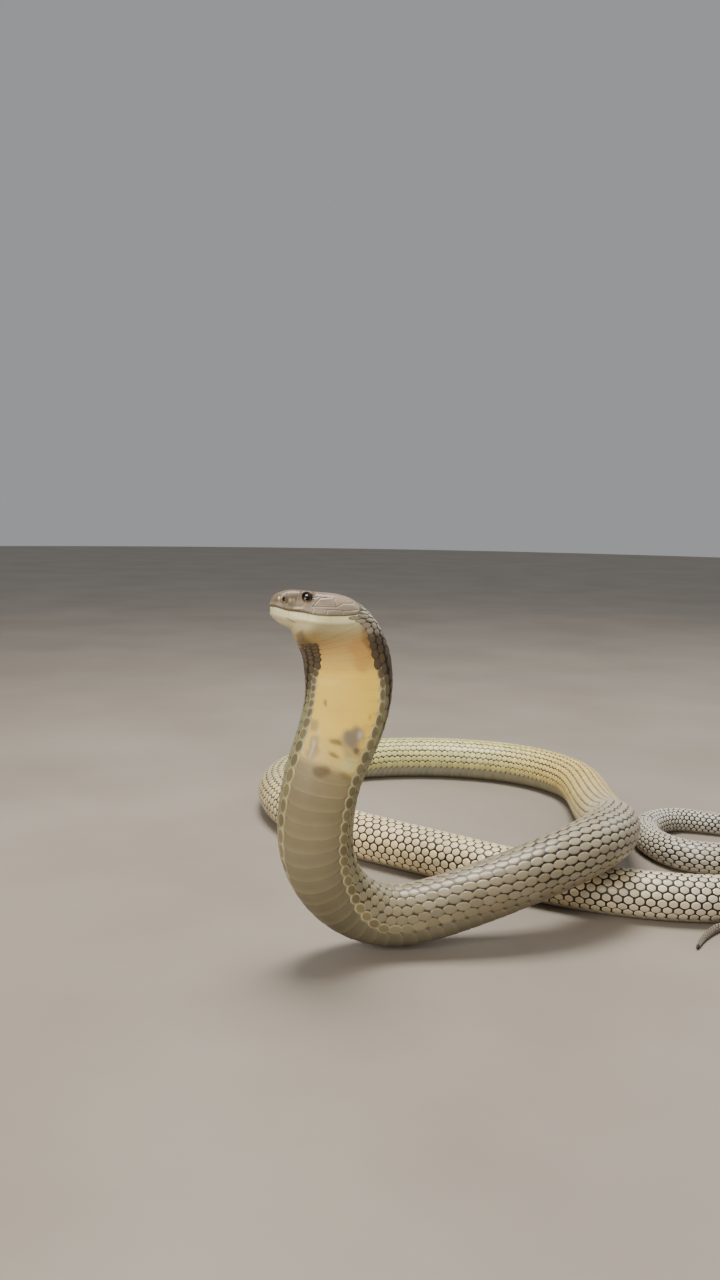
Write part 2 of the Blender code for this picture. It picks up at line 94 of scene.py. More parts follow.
BACK_ROUTE = (
    (0.3520, 1.5850), (0.3480, 1.6550), (0.3200, 1.7150), (0.2700, 1.7620), (0.2000, 1.7920),
    (0.1250, 1.8020), (0.0500, 1.7940), (-0.0200, 1.7680), (-0.0750, 1.7180), (-0.1080, 1.6550),
    (-0.1165, 1.5820), (-0.0990, 1.5070), (-0.0620, 1.4370), (-0.0060, 1.3790), (0.0820, 1.3160),
    (0.1850, 1.2460), (0.2800, 1.1960), (0.3500, 1.1760), (0.4170, 1.1720),
)
TURN_ROUTE = (
    (0.4850, 1.1830), (0.5450, 1.2030), (0.5850, 1.2400), (0.5780, 1.2920), (0.5320, 1.3200),
    (0.4720, 1.3230),
)
TAIL_ROUTE = (
    (0.4250, 1.3420), (0.4040, 1.3800), (0.4000, 1.4300), (0.4200, 1.4800), (0.4600, 1.5080),
    (0.5200, 1.4950), (0.5900, 1.4680), (0.6550, 1.4200), (0.6980, 1.3450), (0.7000, 1.2600),
    (0.6600, 1.1850), (0.5900, 1.1450), (0.5150, 1.1360), (0.4600, 1.1420), (0.4250, 1.1450),
    (0.4040, 1.1370), (0.3870, 1.1200), (0.3740, 1.1020), (0.3660, 1.0870),
)
# Share of the length, half width and half height.
GIRTH = (
    (0.000, 0.0455, 0.0175), (0.012, 0.0425, 0.0190), (0.026, 0.0393, 0.0220),
    (0.042, 0.0385, 0.0250), (0.060, 0.0360, 0.0280), (0.085, 0.0345, 0.0310),
    (0.120, 0.0335, 0.0320), (0.220, 0.0335, 0.0320), (0.330, 0.0350, 0.0335),
    (0.420, 0.0345, 0.0330), (0.520, 0.0325, 0.0305), (0.600, 0.0295, 0.0280),
    (0.650, 0.0270, 0.0262), (0.720, 0.0225, 0.0220), (0.770, 0.0192, 0.0186),
    (0.815, 0.0158, 0.0153), (0.870, 0.0130, 0.0128), (0.920, 0.0095, 0.0093),
    (0.960, 0.0065, 0.0064), (0.985, 0.0045, 0.0045), (1.000, 0.0022, 0.0022),
)
# Share of the length, and the way that the belly faces there.
BELLY_TURN = (
    (0.000, BELLY_FRONT), (0.050, BELLY_FRONT), (0.082, BELLY_FOOT), (0.115, BELLY_ROLLED),
    (0.150, BELLY_ROLLED), (0.190, BELLY_DOWN), (1.000, BELLY_DOWN),
)

# Outlines of head and nape from the side, station by station: back from the occiput, and up.
CROWN = (
    (-0.0806, 0.0102), (-0.0791, 0.0147), (-0.0750, 0.0202), (-0.0682, 0.0230), (-0.0608, 0.0242),
    (-0.0510, 0.0237), (-0.0408, 0.0224), (-0.0306, 0.0214), (-0.0190, 0.0203), (-0.0085, 0.0180),
    (0.0000, 0.0148), (0.0080, 0.0100), (0.0160, 0.0040), (0.0235, -0.0040), (0.0300, -0.0135),
    (0.0355, -0.0245), (0.0400, -0.0360), (0.0428, -0.0480), (0.0440, -0.0590),
)
THROAT = (
    (-0.0806, 0.0054), (-0.0799, 0.0010), (-0.0770, -0.0038), (-0.0700, -0.0094),
    (-0.0620, -0.0135), (-0.0598, -0.0160), (-0.0590, -0.0182), (-0.0582, -0.0205),
    (-0.0573, -0.0228), (-0.0565, -0.0252), (-0.0557, -0.0275), (-0.0547, -0.0298),
    (-0.0535, -0.0322), (-0.0520, -0.0350), (-0.0505, -0.0382), (-0.0492, -0.0420),
    (-0.0480, -0.0468), (-0.0472, -0.0525), (-0.0470, -0.0590),
)
HEAD_HALF_WIDTH = (
    0.0040, 0.0090, 0.0135, 0.0162, 0.0180, 0.0198, 0.0213, 0.0228, 0.0243, 0.0252,
    0.0254, 0.0250, 0.0242, 0.0232, 0.0221, 0.0210, 0.0198, 0.0186, 0.0175,
)
MOUTH = (
    (-0.0820, 0.0082), (-0.0780, 0.0073), (-0.0737, 0.0058), (-0.0693, 0.0042), (-0.0650, 0.0031),
    (-0.0588, 0.0024), (-0.0510, 0.0013), (-0.0439, -0.0003), (-0.0375, -0.0015),
    (-0.0258, -0.0021), (-0.0098, -0.0018), (0.0007, -0.0008), (0.0051, 0.0002), (0.0120, 0.0018),
)
HEAD_PIVOT = np.array([-0.0100, 1.0600, 0.3570])
NECK_TOP_Y = 1.0690
HEAD_YAW = math.radians(14.0)
HEAD_ROLL = math.radians(7.0)
ROLL_AXIS_UP = 0.003
BOXY_HEAD = 3.6
BOXY_JAW = 2.3
ROUND_NECK = 2.1

EYE_PLACE = (-0.0474, 0.0142)
EYE_LATERAL = 0.0151
EYE_RADIUS = 0.0054
EYE_TILT = math.radians(28.0)
NOSTRIL_PLACE = (-0.0700, 0.0146)

# Seams between the shields of the head, in millimetres. Side view: back from the occiput, up
# from the corner of the mouth. Seen from above: back from the occiput, out from the middle.
SIDE_SEAMS = (
    ((-77.0, 13.2), (-73, 11.6), (-68, 9.9), (-64.4, 8.9), (-58, 8.6), (-53.0, 8.6), (-51.0, 9.8)),
    ((-43.4, 7.4), (-35.6, 7.0), (-26, 6.7), (-19.5, 6.5), (-15, 9.0), (-12.5, 10.4)),
    ((-74.0, 11.8), (-73.0, 17.0), (-72.2, 20.0)),
    ((-70.0, 10.6), (-69.8, 12.4)),
    ((-69.8, 16.4), (-69.4, 19.6)),
    ((-66.6, 9.4), (-66.4, 14.0), (-66.6, 19.8)),
    ((-58.6, 8.6), (-57.8, 13.6), (-56.6, 19.8)),
    ((-76, 16.0), (-72.2, 20.0), (-66, 20.6), (-60, 20.4), (-55, 19.8)),
    ((-43.2, 6.9), (-39.2, 11.6), (-35.6, 15.1), (-25.2, 15.9), (-15.0, 16.2), (-7.0, 14.4), (1.0, 10.6)),
    ((-42.0, 15.6), (-39.6, 15.4), (-34.7, 18.7), (-24.8, 18.5), (-16.7, 17.2)),
    ((-42.2, 11.6), (-39.2, 11.6)),
    ((-12.5, 10.4), (-9.4, 10.2), (-1.5, 10.3)),
    ((-20.5, 15.9), (-21.5, 12.0), (-20.0, 6.6)),
    ((-31.0, 4.2), (-29.2, 4.2), (-21.0, 4.0), (-14.0, 3.6), (-6.0, 3.4), (3.0, 4.1)),
    ((1.0, 10.6), (3.0, 6.0), (4.1, 0.6)),
)
LABIAL_SEAMS = (-75.5, -69.5, -62.5, -55.5, -44.5, -31.0, -14.0)
CHIN_SEAMS = (-74.0, -66.0, -57.0, -48.0, -38.0, -26.0, -12.0)
CHIN_CREASE = ((-0.0668, -0.0030), (-0.0629, -0.0060), (-0.0588, -0.0080))
CHIN_EDGE = (
    (-80, 3.2), (-72, 0.6), (-62, -2.6), (-50, -4.2), (-38, -5.6), (-24, -6.6), (-8, -6.6), (4, -5.6),
)
TOP_SEAMS = (
    ((-78, 0), (-60, 0)),
    ((-71, 0), (-70, 5), (-71, 12)),
    ((-60, 0), (-59.5, 5.5), (-58, 9), (-56, 14.5)),
    ((-59.5, 5.5), (-53, 5.6), (-46, 5.0), (-41, 3.2), (-38.5, 0)),
    ((-41, 3.2), (-38.5, 8), (-37.5, 12), (-38, 17)),
    ((-38.5, 0), (-11, 0)),
    ((-36, 12), (-24, 14.6), (-14, 13), (-10, 8)),
    ((-11, 0), (-10, 5), (-10, 8), (-7, 12)),
    ((-11, 0), (3, 0)),
    ((-7, 12), (-1, 9.5), (3, 5), (3.6, 0)),
)

# Soft patches of the throat, among them a painted shadow in the skin fold and a painted highlight on the
# left edge of the belly: middle (distance, share), half size (distance, share), paint, strength.
THROAT_PATCHES = (
    ((-0.0150, 0.570), (0.0140, 0.060), (186, 122, 60), 0.40),
    ((-0.0250, 0.618), (0.0110, 0.034), (128, 92, 54), 0.70),
    # The next thin, nearly black patch is a painted shadow in the skin fold of the bent neck.
    ((-0.0388, 0.320), (0.0014, 0.034), (30, 24, 18), 0.90),
    ((0.0360, 0.397), (0.0046, 0.012), (128, 92, 50), 0.85),
    ((0.0390, 0.625), (0.0032, 0.010), (150, 112, 60), 0.60),
    ((0.0660, 0.585), (0.0165, 0.070), (150, 134, 108), 0.75),
    ((0.0640, 0.575), (0.0110, 0.046), (128, 114, 104), 0.70),
    ((0.0580, 0.606), (0.0040, 0.016), (206, 196, 178), 0.65),
    ((0.0720, 0.612), (0.0036, 0.020), (92, 78, 70), 0.70),
    ((0.0715, 0.500), (0.0026, 0.034), (120, 94, 58), 0.75),
    ((0.0830, 0.512), (0.0026, 0.040), (124, 98, 58), 0.75),
    ((0.0640, 0.372), (0.0080, 0.026), (150, 128, 94), 0.65),
    ((0.0760, 0.394), (0.0080, 0.028), (140, 120, 88), 0.65),
    ((0.0880, 0.412), (0.0080, 0.034), (150, 130, 96), 0.65),
    # The next two narrow pale streaks on the left edge of the belly are a painted highlight.
    ((0.0720, 0.396), (0.0120, 0.007), (232, 214, 186), 0.60),
    ((0.0860, 0.402), (0.0090, 0.007), (224, 206, 178), 0.60),
    ((0.0870, 0.610), (0.0080, 0.050), (214, 206, 134), 0.75),
    ((0.1005, 0.485), (0.0056, 0.046), (106, 88, 56), 0.75),
    ((0.0985, 0.604), (0.0050, 0.044), (128, 116, 74), 0.70),
)
# Small marks on the side of the head, among them a painted highlight and shadow on the upper lip and painted
# shadow of the brow: middle (back, up), half size (back, up), paint, strength.
HEAD_MARKS = (
    # The next mark is a painted highlight on the upper lip, and the one after it, just above the mouth line,
    # painted shadow of the lip.
    ((-0.0560, 0.0059), (0.0050, 0.0011), (224, 208, 168), 0.85),
    ((-0.0560, 0.0042), (0.0056, 0.0009), (104, 74, 52), 0.60),
    ((-0.0680, 0.0097), (0.0028, 0.0007), (186, 174, 142), 0.60),
    ((-0.0741, 0.0161), (0.0012, 0.0014), (226, 216, 188), 0.85),
    ((-0.0712, 0.0166), (0.0011, 0.0018), (190, 178, 150), 0.60),
    ((-0.0640, 0.0139), (0.0013, 0.0020), (192, 180, 154), 0.70),
    ((-0.0610, 0.0142), (0.0012, 0.0014), (176, 162, 134), 0.55),
    ((-0.0678, 0.0148), (0.0034, 0.0042), (86, 70, 50), 0.60),
    ((-0.0622, 0.0170), (0.0030, 0.0026), (104, 88, 66), 0.45),
    ((-0.0410, 0.0085), (0.0030, 0.0014), (112, 98, 78), 0.50),
    # The next two dark marks, over the front of the eye and along the brow behind it, are painted shadow of
    # the brow.
    ((-0.0520, 0.0212), (0.0060, 0.0016), (74, 52, 38), 0.55),
    ((-0.0400, 0.0172), (0.0030, 0.0016), (92, 74, 60), 0.55),
)


def linear(colour: Array | Sequence[float]) -> Array:
    """Turn palette colours from 0 to 255 into linear light.

    Args:
        colour: One or more colours, red, green and blue last.

    Returns:
        The same colours as linear values from 0 to 1.
    """
    part = np.asarray(colour, float) / 255.0
    return np.where(part <= 0.04045, part / 12.92, ((part + 0.055) / 1.055) ** 2.4)


def unit(vectors: Array) -> Array:
    """Scale each row to length one."""
    return vectors / np.maximum(np.linalg.norm(vectors, axis=-1, keepdims=True), 1e-12)


def ease(start: float, end: float, value: Array | float) -> Array:
    """Step smoothly from 0 at the start to 1 at the end."""
    part = np.clip((np.asarray(value, float) - start) / (end - start), 0.0, 1.0)
    return part * part * (3.0 - 2.0 * part)


def bell(value: Array, width: float) -> Array:
    """A smooth hump of height 1 at zero."""
    return np.exp(-((value / width) ** 2))


def mix(base: Array, paint: Array, amount: Array) -> Array:
    """Lay paint over a base, row by row.

    Args:
        base: Linear colours.
        paint: The linear colour or colours to lay over them.
        amount: How much of the paint, from 0 to 1, for each row.

    Returns:
        The blended colours.
    """
    part = amount[..., None]
    return base * (1 - part) + paint * part


def band(low: int, count: int) -> list[tuple[int, int, int, int]]:
    """Quads between one closed row of vertices and the next.

    Args:
        low: Index of the first vertex of the row.
        count: Vertices in each row.

    Returns:
        The corners of each quad.
    """
    return [
        (low + k, low + (k + 1) % count, low + count + (k + 1) % count, low + count + k)
        for k in range(count)
    ]


def spline(knots: Array, values: Array, at: Array) -> Array:
    """Read a natural cubic spline.

    Args:
        knots: Places of the values.
        values: One value or point for each knot.
        at: Places to read.

    Returns:
        The values there.
    """
    knots = np.asarray(knots, float)
    values = np.asarray(values, float)
    at = np.asarray(at, float)
    count = len(knots)
    step = np.diff(knots)
    system = np.eye(count)
    right = np.zeros_like(values)
    for i in range(1, count - 1):
        system[i, i - 1] = step[i - 1]
        system[i, i] = 2.0 * (step[i - 1] + step[i])
        system[i, i + 1] = step[i]
        rise_after = (values[i + 1] - values[i]) / step[i]
        rise_before = (values[i] - values[i - 1]) / step[i - 1]
        right[i] = 6.0 * (rise_after - rise_before)
    bend = np.linalg.solve(system, right)
    span = np.clip(np.searchsorted(knots, at, side="right") - 1, 0, count - 2)
    width = step[span]
    before = (knots[span + 1] - at) / width
    after = (at - knots[span]) / width
    if values.ndim > 1:
        width, before, after = width[:, None], before[:, None], after[:, None]
    curve = before * values[span] + after * values[span + 1]
    curve += ((before**3 - before) * bend[span] + (after**3 - after) * bend[span + 1]) * width**2 / 6.0
    return curve


def smooth_between(stations: Sequence[Sequence[float]], at: Array) -> Array:
    """Read a table of (place, value, value) with a smooth step between its rows.

    Args:
        stations: The rows of the table.
        at: Places to read.

    Returns:
        One row of values for each place.
    """
    table = np.asarray(stations, float)
    place = table[:, 0]
    rows = table[:, 1:]
    slope = np.gradient(rows, place, axis=0)
    span = np.clip(np.searchsorted(place, at, side="right") - 1, 0, len(place) - 2)
    width = (place[span + 1] - place[span])[:, None]
    t = ((at - place[span]) / width[:, 0])[:, None]
    start = (1 + 2 * t) * (1 - t) ** 2 * rows[span] + t * (1 - t) ** 2 * width * slope[span]
    finish = t * t * (3 - 2 * t) * rows[span + 1] + t * t * (t - 1) * width * slope[span + 1]
    return start + finish


def even_ring(closed: Array, count: int) -> Array:
    """Space the points of one closed ring evenly by length.

    Args:
        closed: Points of the ring, the last the same as the first.
        count: Points wanted.

    Returns:
        That many points, starting at the first.
    """
    walked = np.concatenate([[0.0], np.cumsum(np.linalg.norm(np.diff(closed, axis=0), axis=1))])
    at = np.arange(count) / count * walked[-1]
    return np.stack([np.interp(at, walked, closed[:, k]) for k in range(3)], axis=1)


def line_distance(points: Array, line: Sequence[Sequence[float]]) -> Array:
    """Distance of flat points from a broken line.

    Args:
        points: Flat points, one a row.
        line: Corners of the line.

    Returns:
        The distance of each point from the nearest stretch.
    """
    nearest = np.full(len(points), np.inf)
    corners = np.asarray(line, float)
    for start, end in zip(corners[:-1], corners[1:]):
        run = end - start
        share = np.clip((points - start) @ run / (run @ run), 0.0, 1.0)
        nearest = np.minimum(nearest, np.linalg.norm(points - start - share[:, None] * run, axis=1))
    return nearest


def grid_normals(rings: Array) -> Array:
    """Outward normals of a tube given as rings of equal count.

    Args:
        rings: Points, ring by ring.

    Returns:
        A normal for each point.
    """
    along = np.gradient(rings, axis=0)
    round_ = np.roll(rings, -1, axis=1) - np.roll(rings, 1, axis=1)
    normal = unit(np.cross(along, round_))
    outward = rings - rings.mean(axis=1, keepdims=True)
    flip = np.sign(np.sum(normal * outward, axis=(1, 2)))
    return normal * np.where(flip == 0, 1.0, flip)[:, None, None]


@dataclass(frozen=True)
class Swell:
    """A smooth band of relief: its height (less than 0 where sunk), the place of its crest, its width."""

    height: float
    crest: float
    width: float

    def at(self, place: Array) -> Array:
        """Relief at these places."""
        return self.height * bell(place - self.crest, self.width)


@dataclass(frozen=True)
class Ramp:
    """Palette colours along the body, each row (distance, red, green, blue)."""

    rows: tuple[tuple[float, float, float, float], ...]

    def at(self, place: Array) -> Array:
        """Read the colours.

        Args:
            place: Distances along the body.

        Returns:
            Linear colours.
        """
        table = np.array(self.rows)
        mixed = [np.interp(place, table[:, 0], table[:, k]) for k in (1, 2, 3)]
        return linear(np.stack(mixed, axis=-1))


@dataclass(frozen=True)
class Level:
    """A plain number along the body, each row (distance, value)."""

    rows: tuple[tuple[float, float], ...]

    def at(self, place: Array) -> Array:
        """The number at these distances."""
        table = np.array(self.rows)
        return np.interp(place, table[:, 0], table[:, 1])


class BodyForm:
    """Centre line, girth and facing of the long body, as the source lays them out."""

    first_height = 0.03
    height_passes = 3
    path_points = 4001
    ring_points = 241
    tangent_reach = 0.004

    def __init__(self) -> None:
        """Walk the route once and keep its length."""
        flat = BACK_ROUTE + TURN_ROUTE + TAIL_ROUTE
        raised = np.array(NECK_ROUTE + CROSSING_ROUTE)
        points = np.vstack([raised, [(x, y, self.first_height) for x, y in flat]])
        for _ in range(self.height_passes):
            chord = np.concatenate([[0.0], np.cumsum(np.linalg.norm(np.diff(points, axis=0), axis=1))])
            half_height = smooth_between(GIRTH, chord / chord[-1])[:, 1]
            points[len(raised):, 2] = SINK * half_height[len(raised):]
        path = spline(chord, points, np.linspace(0.0, chord[-1], self.path_points))
        self.walked = np.concatenate([[0.0], np.cumsum(np.linalg.norm(np.diff(path, axis=0), axis=1))])
        self.length = float(self.walked[-1])
        self.path = path

    def centre(self, at: Array) -> Array:
        """Points of the centre line at these distances."""
        return np.stack([np.interp(at, self.walked, self.path[:, i]) for i in range(3)], axis=1)

    def rings(self, at: Array, count: int) -> Array:
        """Rings of the outer surface, evenly spaced from the middle of the back.

        Args:
            at: Distances along the body.
            count: Points in each ring.

        Returns:
            Points, ring by ring.
        """
        ahead = self.centre(np.minimum(at + self.tangent_reach, self.length))
        behind = self.centre(np.maximum(at - self.tangent_reach, 0.0))
        tangent = unit(ahead - behind)
        share = at / self.length
        places = [place for place, _ in BELLY_TURN]
        facings = np.array([facing for _, facing in BELLY_TURN])
        belly = np.stack([np.interp(share, places, facings[:, i]) for i in range(3)], axis=1)
        belly = unit(belly - np.sum(belly * tangent, axis=1, keepdims=True) * tangent)
        side = np.cross(tangent, belly)
        girth = smooth_between(GIRTH, share)
        angle = np.linspace(0.0, 2.0 * math.pi, self.ring_points)
        across = np.sin(angle)[None, :, None] * girth[:, 0][:, None, None] * side[:, None, :]
        up = -np.cos(angle)[None, :, None] * girth[:, 1][:, None, None] * belly[:, None, :]
        fine = self.centre(at)[:, None, :] + across + up
        fine[:, :, 2] = np.maximum(fine[:, :, 2], 0.0)
        return np.array([even_ring(ring, count) for ring in fine]) + PLAN_SHIFT


class HeadForm:
    """Outlines of head and nape, as the source lays them out, and how the throat turns to the front."""

    stations = len(CROWN) - 1
    twist_start = 6.0
    twist_end = 13.5
    turn_fade_start = 8.0
    rounding = (0.55, 0.95)
    ring_points = 721

    def section(self, at: float, angle: Array) -> Array:
        """Points of one ring in the head's own frame.

        Args:
            at: Station, 0 at the snout.
            angle: Angles from the crown over the near side.

        Returns:
            Points (back, near side, up).
        """
        knots = np.arange(self.stations + 1)
        crown = spline(knots, CROWN, np.array([at]))[0]
        throat = spline(knots, THROAT, np.array([at]))[0]
        width = spline(knots, HEAD_HALF_WIDTH, np.array([at]))[0]
        blend = float(ease(*self.rounding, at / self.stations))
        power = BOXY_HEAD + (ROUND_NECK - BOXY_HEAD) * blend
        lower = BOXY_JAW + (ROUND_NECK - BOXY_JAW) * blend
        cosine, sine = np.cos(angle), np.sin(angle)
        use = np.where(cosine > 0, power, lower)
        along = np.sign(cosine) * np.abs(cosine) ** (2.0 / use)
        out = np.sign(sine) * np.abs(sine) ** (2.0 / use)
        plane = (crown + throat) / 2 + along[:, None] * (crown - throat) / 2
        return np.stack([plane[:, 0], out * width, plane[:, 1]], axis=1)

    def ring(self, at: float, count: int) -> Array:
        """One evenly spaced ring in the head's frame, from the middle of the back round.

        Args:
            at: Station.
            count: Points wanted.

        Returns:
            Points (back, near side, up).
        """
        twist = math.pi / 2 * float(ease(self.twist_start, self.twist_end, at))
        angle = 2.0 * math.pi - np.linspace(0.0, 2.0 * math.pi, self.ring_points) - twist
        return even_ring(self.section(at, angle), count)

    def height(self, at: Array, side: Array, up: Array) -> Array:
        """Heights over the pivot of points in the head's frame, with the roll of the head.

        Args:
            at: Stations.
            side: Places across the head.
            up: Heights in the head's frame.

        Returns:
            The heights.
        """
        roll = HEAD_ROLL * (1.0 - ease(self.turn_fade_start, self.stations, at))
        return ROLL_AXIS_UP + side * np.sin(roll) + (up - ROLL_AXIS_UP) * np.cos(roll)

    def place(self, at: float, points: Array) -> Array:
        """Turn ring points (back, near side, up) into world points.

        Args:
            at: Station, which sets how much of yaw and roll is left.
            points: Points in the head's frame.

        Returns:
            World points.
        """
        fade = float(ease(self.turn_fade_start, self.stations, at))
        yaw = HEAD_YAW * (1.0 - fade)
        depth = HEAD_PIVOT[1] + (NECK_TOP_Y - HEAD_PIVOT[1]) * fade
        roll = HEAD_ROLL * (1.0 - fade)
        back, rise = points[:, 0], points[:, 2] - ROLL_AXIS_UP
        side = points[:, 1] * math.cos(roll) - rise * math.sin(roll)
        up = ROLL_AXIS_UP + points[:, 1] * math.sin(roll) + rise * math.cos(roll)
        x = HEAD_PIVOT[0] + back * math.cos(yaw) + side * math.sin(yaw)
        y = depth + back * math.sin(yaw) - side * math.cos(yaw)
        return np.stack([x, y, HEAD_PIVOT[2] + up], axis=1) + PLAN_SHIFT


def station_distance(at: Array | float) -> Array:
    """Distance along the body that stands for a station of the nape."""
    return -(HeadForm.stations - np.asarray(at, float)) * NAPE_STEP


def mouth_height(back: Array | float) -> Array:
    """Height of the line of the mouth at a place along the head."""
    line = np.array(MOUTH)
    return np.interp(back, line[:, 0], line[:, 1])


def coat_depth(at: Array) -> Array:
    """How deep the skin lies under the scales at this distance along the body."""
    first, full = station_distance(COAT_FIRST_STATION), station_distance(COAT_FULL_STATION)
    return COAT_DEPTH * ease(float(first), float(full), at)


@dataclass
class Markings:
    """Colours of scales, belly plates and bare skin, the same for skin and coat."""

    back: Ramp = Ramp((
        (-0.150, 96, 80, 58), (-0.020, 92, 76, 54), (0.004, 84, 70, 48), (0.014, 98, 88, 62),
        (0.026, 128, 120, 84), (0.050, 146, 140, 100), (0.180, 138, 130, 96), (0.280, 142, 131, 102),
        (0.450, 134, 122, 96), (0.600, 160, 149, 123), (0.680, 180, 168, 143), (0.860, 200, 180, 124),
        (1.050, 212, 184, 110), (1.180, 210, 192, 120), (1.300, 206, 198, 130), (1.500, 202, 194, 128),
        (1.700, 186, 175, 128), (1.900, 218, 198, 152), (2.200, 222, 202, 156), (2.450, 202, 190, 164),
        (2.800, 180, 170, 148), (3.050, 188, 182, 166), (3.300, 162, 154, 138), (3.600, 148, 138, 120),
        (3.880, 128, 116, 100),
    ))
    belly: Ramp = Ramp((
        (-0.150, 186, 160, 112), (-0.036, 192, 158, 100), (-0.022, 212, 176, 102), (-0.010, 224, 188, 104),
        (0.004, 248, 206, 86), (0.060, 252, 212, 90), (0.092, 226, 196, 116), (0.099, 156, 138, 96),
        (0.112, 141, 126, 92), (0.180, 131, 120, 92), (0.260, 107, 99, 77), (0.330, 118, 111, 91),
        (0.450, 134, 124, 100), (0.700, 150, 139, 114), (0.950, 152, 144, 108), (1.400, 140, 139, 122),
        (1.900, 164, 148, 120), (2.450, 168, 158, 136), (3.100, 156, 148, 132), (3.880, 96, 88, 78),
    ))
    bare: Ramp = Ramp((
        (-0.150, 76, 66, 52), (-0.030, 42, 34, 24), (0.100, 46, 40, 26), (0.220, 54, 47, 32),
        (0.300, 74, 65, 46), (0.400, 52, 43, 28), (0.480, 34, 27, 17), (0.680, 40, 32, 20),
        (0.800, 52, 42, 24), (1.200, 42, 37, 22), (1.600, 40, 33, 21), (1.900, 54, 38, 26),
        (2.450, 42, 34, 26), (2.800, 32, 28, 24), (3.880, 28, 24, 22),
    ))
    # Under the jaw by height: the jaw's cream, then a darker olive band of painted shade under the
    # overhanging jaw, then the throat's yellow.
    under_jaw_shade: Ramp = Ramp((
        (-0.044, 196, 156, 90), (-0.034, 182, 148, 94), (-0.026, 174, 148, 98), (-0.019, 180, 160, 110),
        (-0.011, 196, 184, 140), (-0.006, 220, 210, 170),
    ))
    edge_of_belly: Level = Level((
        (-0.150, 0.200), (-0.060, 0.160), (-0.040, 0.118), (-0.012, 0.122), (0.004, 0.152), (0.030, 0.166),
        (0.060, 0.156), (0.085, 0.152), (0.280, 0.148), (0.450, 0.158), (0.700, 0.165), (1.450, 0.165),
        (1.700, 0.138), (3.000, 0.134), (3.200, 0.120), (3.880, 0.110),
    ))
    roll: Level = Level((
        (-0.150, 0.0), (0.120, 0.0), (0.170, -0.012), (0.200, -0.030), (0.240, -0.052), (0.270, -0.090),
        (0.300, -0.125), (0.330, -0.120), (0.360, -0.094), (0.400, -0.072), (0.460, -0.072), (0.500, -0.086),
        (0.580, -0.094), (0.660, -0.080), (0.760, -0.055), (0.980, -0.045), (1.450, -0.045), (1.680, 0.0),
        (3.880, 0.0),
    ))

    # Painted shade on the throat's far side.
    shadow_strip_paint: Paint = (112, 94, 68)
    pale_skin_paint: Paint = (188, 181, 136)
    pale_nape_paint: Paint = (164, 154, 132)
    lateral_paint: Paint = (118, 104, 70)
    lateral_rim_paint: Paint = (212, 206, 156)
    free_edge_paint: Paint = (196, 182, 140)

    def belly_share(self, along: Array, share: Array) -> Array:
        """1 on the belly and 0 on the back, with a narrow step between.

        Args:
            along: Distances along the body.
            share: Shares of the way round.

        Returns:
            The part of belly colour.
        """
        off = np.abs(np.mod(share, 1.0) - 0.5)
        return 1.0 - ease(-0.010, 0.010, off - self.edge_of_belly.at(along))

    def patch(
        self, along: Array, share: Array, centre: tuple[float, float], size: tuple[float, float]
    ) -> Array:
        """Strength of one soft patch.

        Args:
            along: Distances along the body.
            share: Shares of the way round.
            centre: Distance and share of the patch's middle.
            size: Half length and half share of the patch.

        Returns:
            A number from 0 to 1 for each place.
        """
        round_ = np.mod(share, 1.0)
        off = np.hypot((along - centre[0]) / size[0], (round_ - centre[1]) / size[1])
        wobble = 0.20 * np.sin(along * 210.0 + round_ * 31.0) + 0.10 * np.sin(along * 470.0 - round_ * 67.0)
        return 1.0 - ease(0.50, 1.20, off + wobble)

    def from_belly(self, along: Array, share: Array) -> Array:
        """How far a place is round from the edge of the belly.

        Args:
            along: Distances along the body.
            share: Shares of the way round.

        Returns:
            Shares of the way round, less than 0 on the belly.
        """
        off = 0.5 - np.abs(np.mod(share + 0.5, 1.0) - 0.5)
        return off - self.edge_of_belly.at(along)

    def beside_belly(self, along: Array, share: Array) -> Array:
        """1 on the row of scales next to the belly of the raised neck, fading to 0 elsewhere.

        Args:
            along: Distances along the body.
            share: Shares of the way round.

        Returns:
            A number from 0 to 1 for each place.
        """
        from_belly = self.from_belly(along, share)
        on_neck = ease(-0.008, 0.010, along) * (1 - ease(0.26, 0.36, along))
        return (1 - ease(0.030, 0.046, from_belly)) * on_neck

    def plate_colour(self, along: Array, share: Array, height: Array, seed: Array) -> Array:
        """Colour of throat and belly, with the patches of the throat.

        Args:
            along: Distances along the body.
            share: Shares of the way round.
            height: Heights over the corner of the mouth, which set the paint under the jaw.
            seed: A number from 0 to 1 for each plate.

        Returns:
            Linear colours.
        """
        uneven = 0.02 + 0.10 * ease(0.09, 0.11, along)
        colour = self.belly.at(along) * (1.0 + uneven * (seed - 0.5))[:, None]
        # Painted shade under the jaw, from the under-jaw ramp.
        colour = mix(colour, self.under_jaw_shade.at(height), 1 - ease(-0.046, -0.010, along))
        round_ = np.mod(share, 1.0)
        # Painted shade: a brown-grey band down the far side of the throat, from the chin to the fold, where
        # the throat turns away from the light.
        shadow_strip = np.abs(round_ - np.interp(along, (-0.084, -0.042), (0.530, 0.345))) / 0.050
        shadow_strip = (1 - ease(0.4, 1.2, shadow_strip)) * ease(-0.094, -0.080, along) * (1 - ease(-0.038, -0.026, along))
        colour = mix(colour, linear(self.shadow_strip_paint), 0.80 * shadow_strip)
        for centre, size, paint, strength in THROAT_PATCHES:
            colour = mix(colour, linear(paint), strength * self.patch(along, share, centre, size))
        return colour

    def bare_colour(self, along: Array, share: Array) -> Array:
        """Colour of the skin between the scales, pale beside the belly of the neck.

        Args:
            along: Distances along the body.
            share: Shares of the way round.

        Returns:
            Linear colours.
        """
        net = 0.85 * self.beside_belly(along, share)
        return mix(self.bare.at(along), linear(self.pale_skin_paint), net)

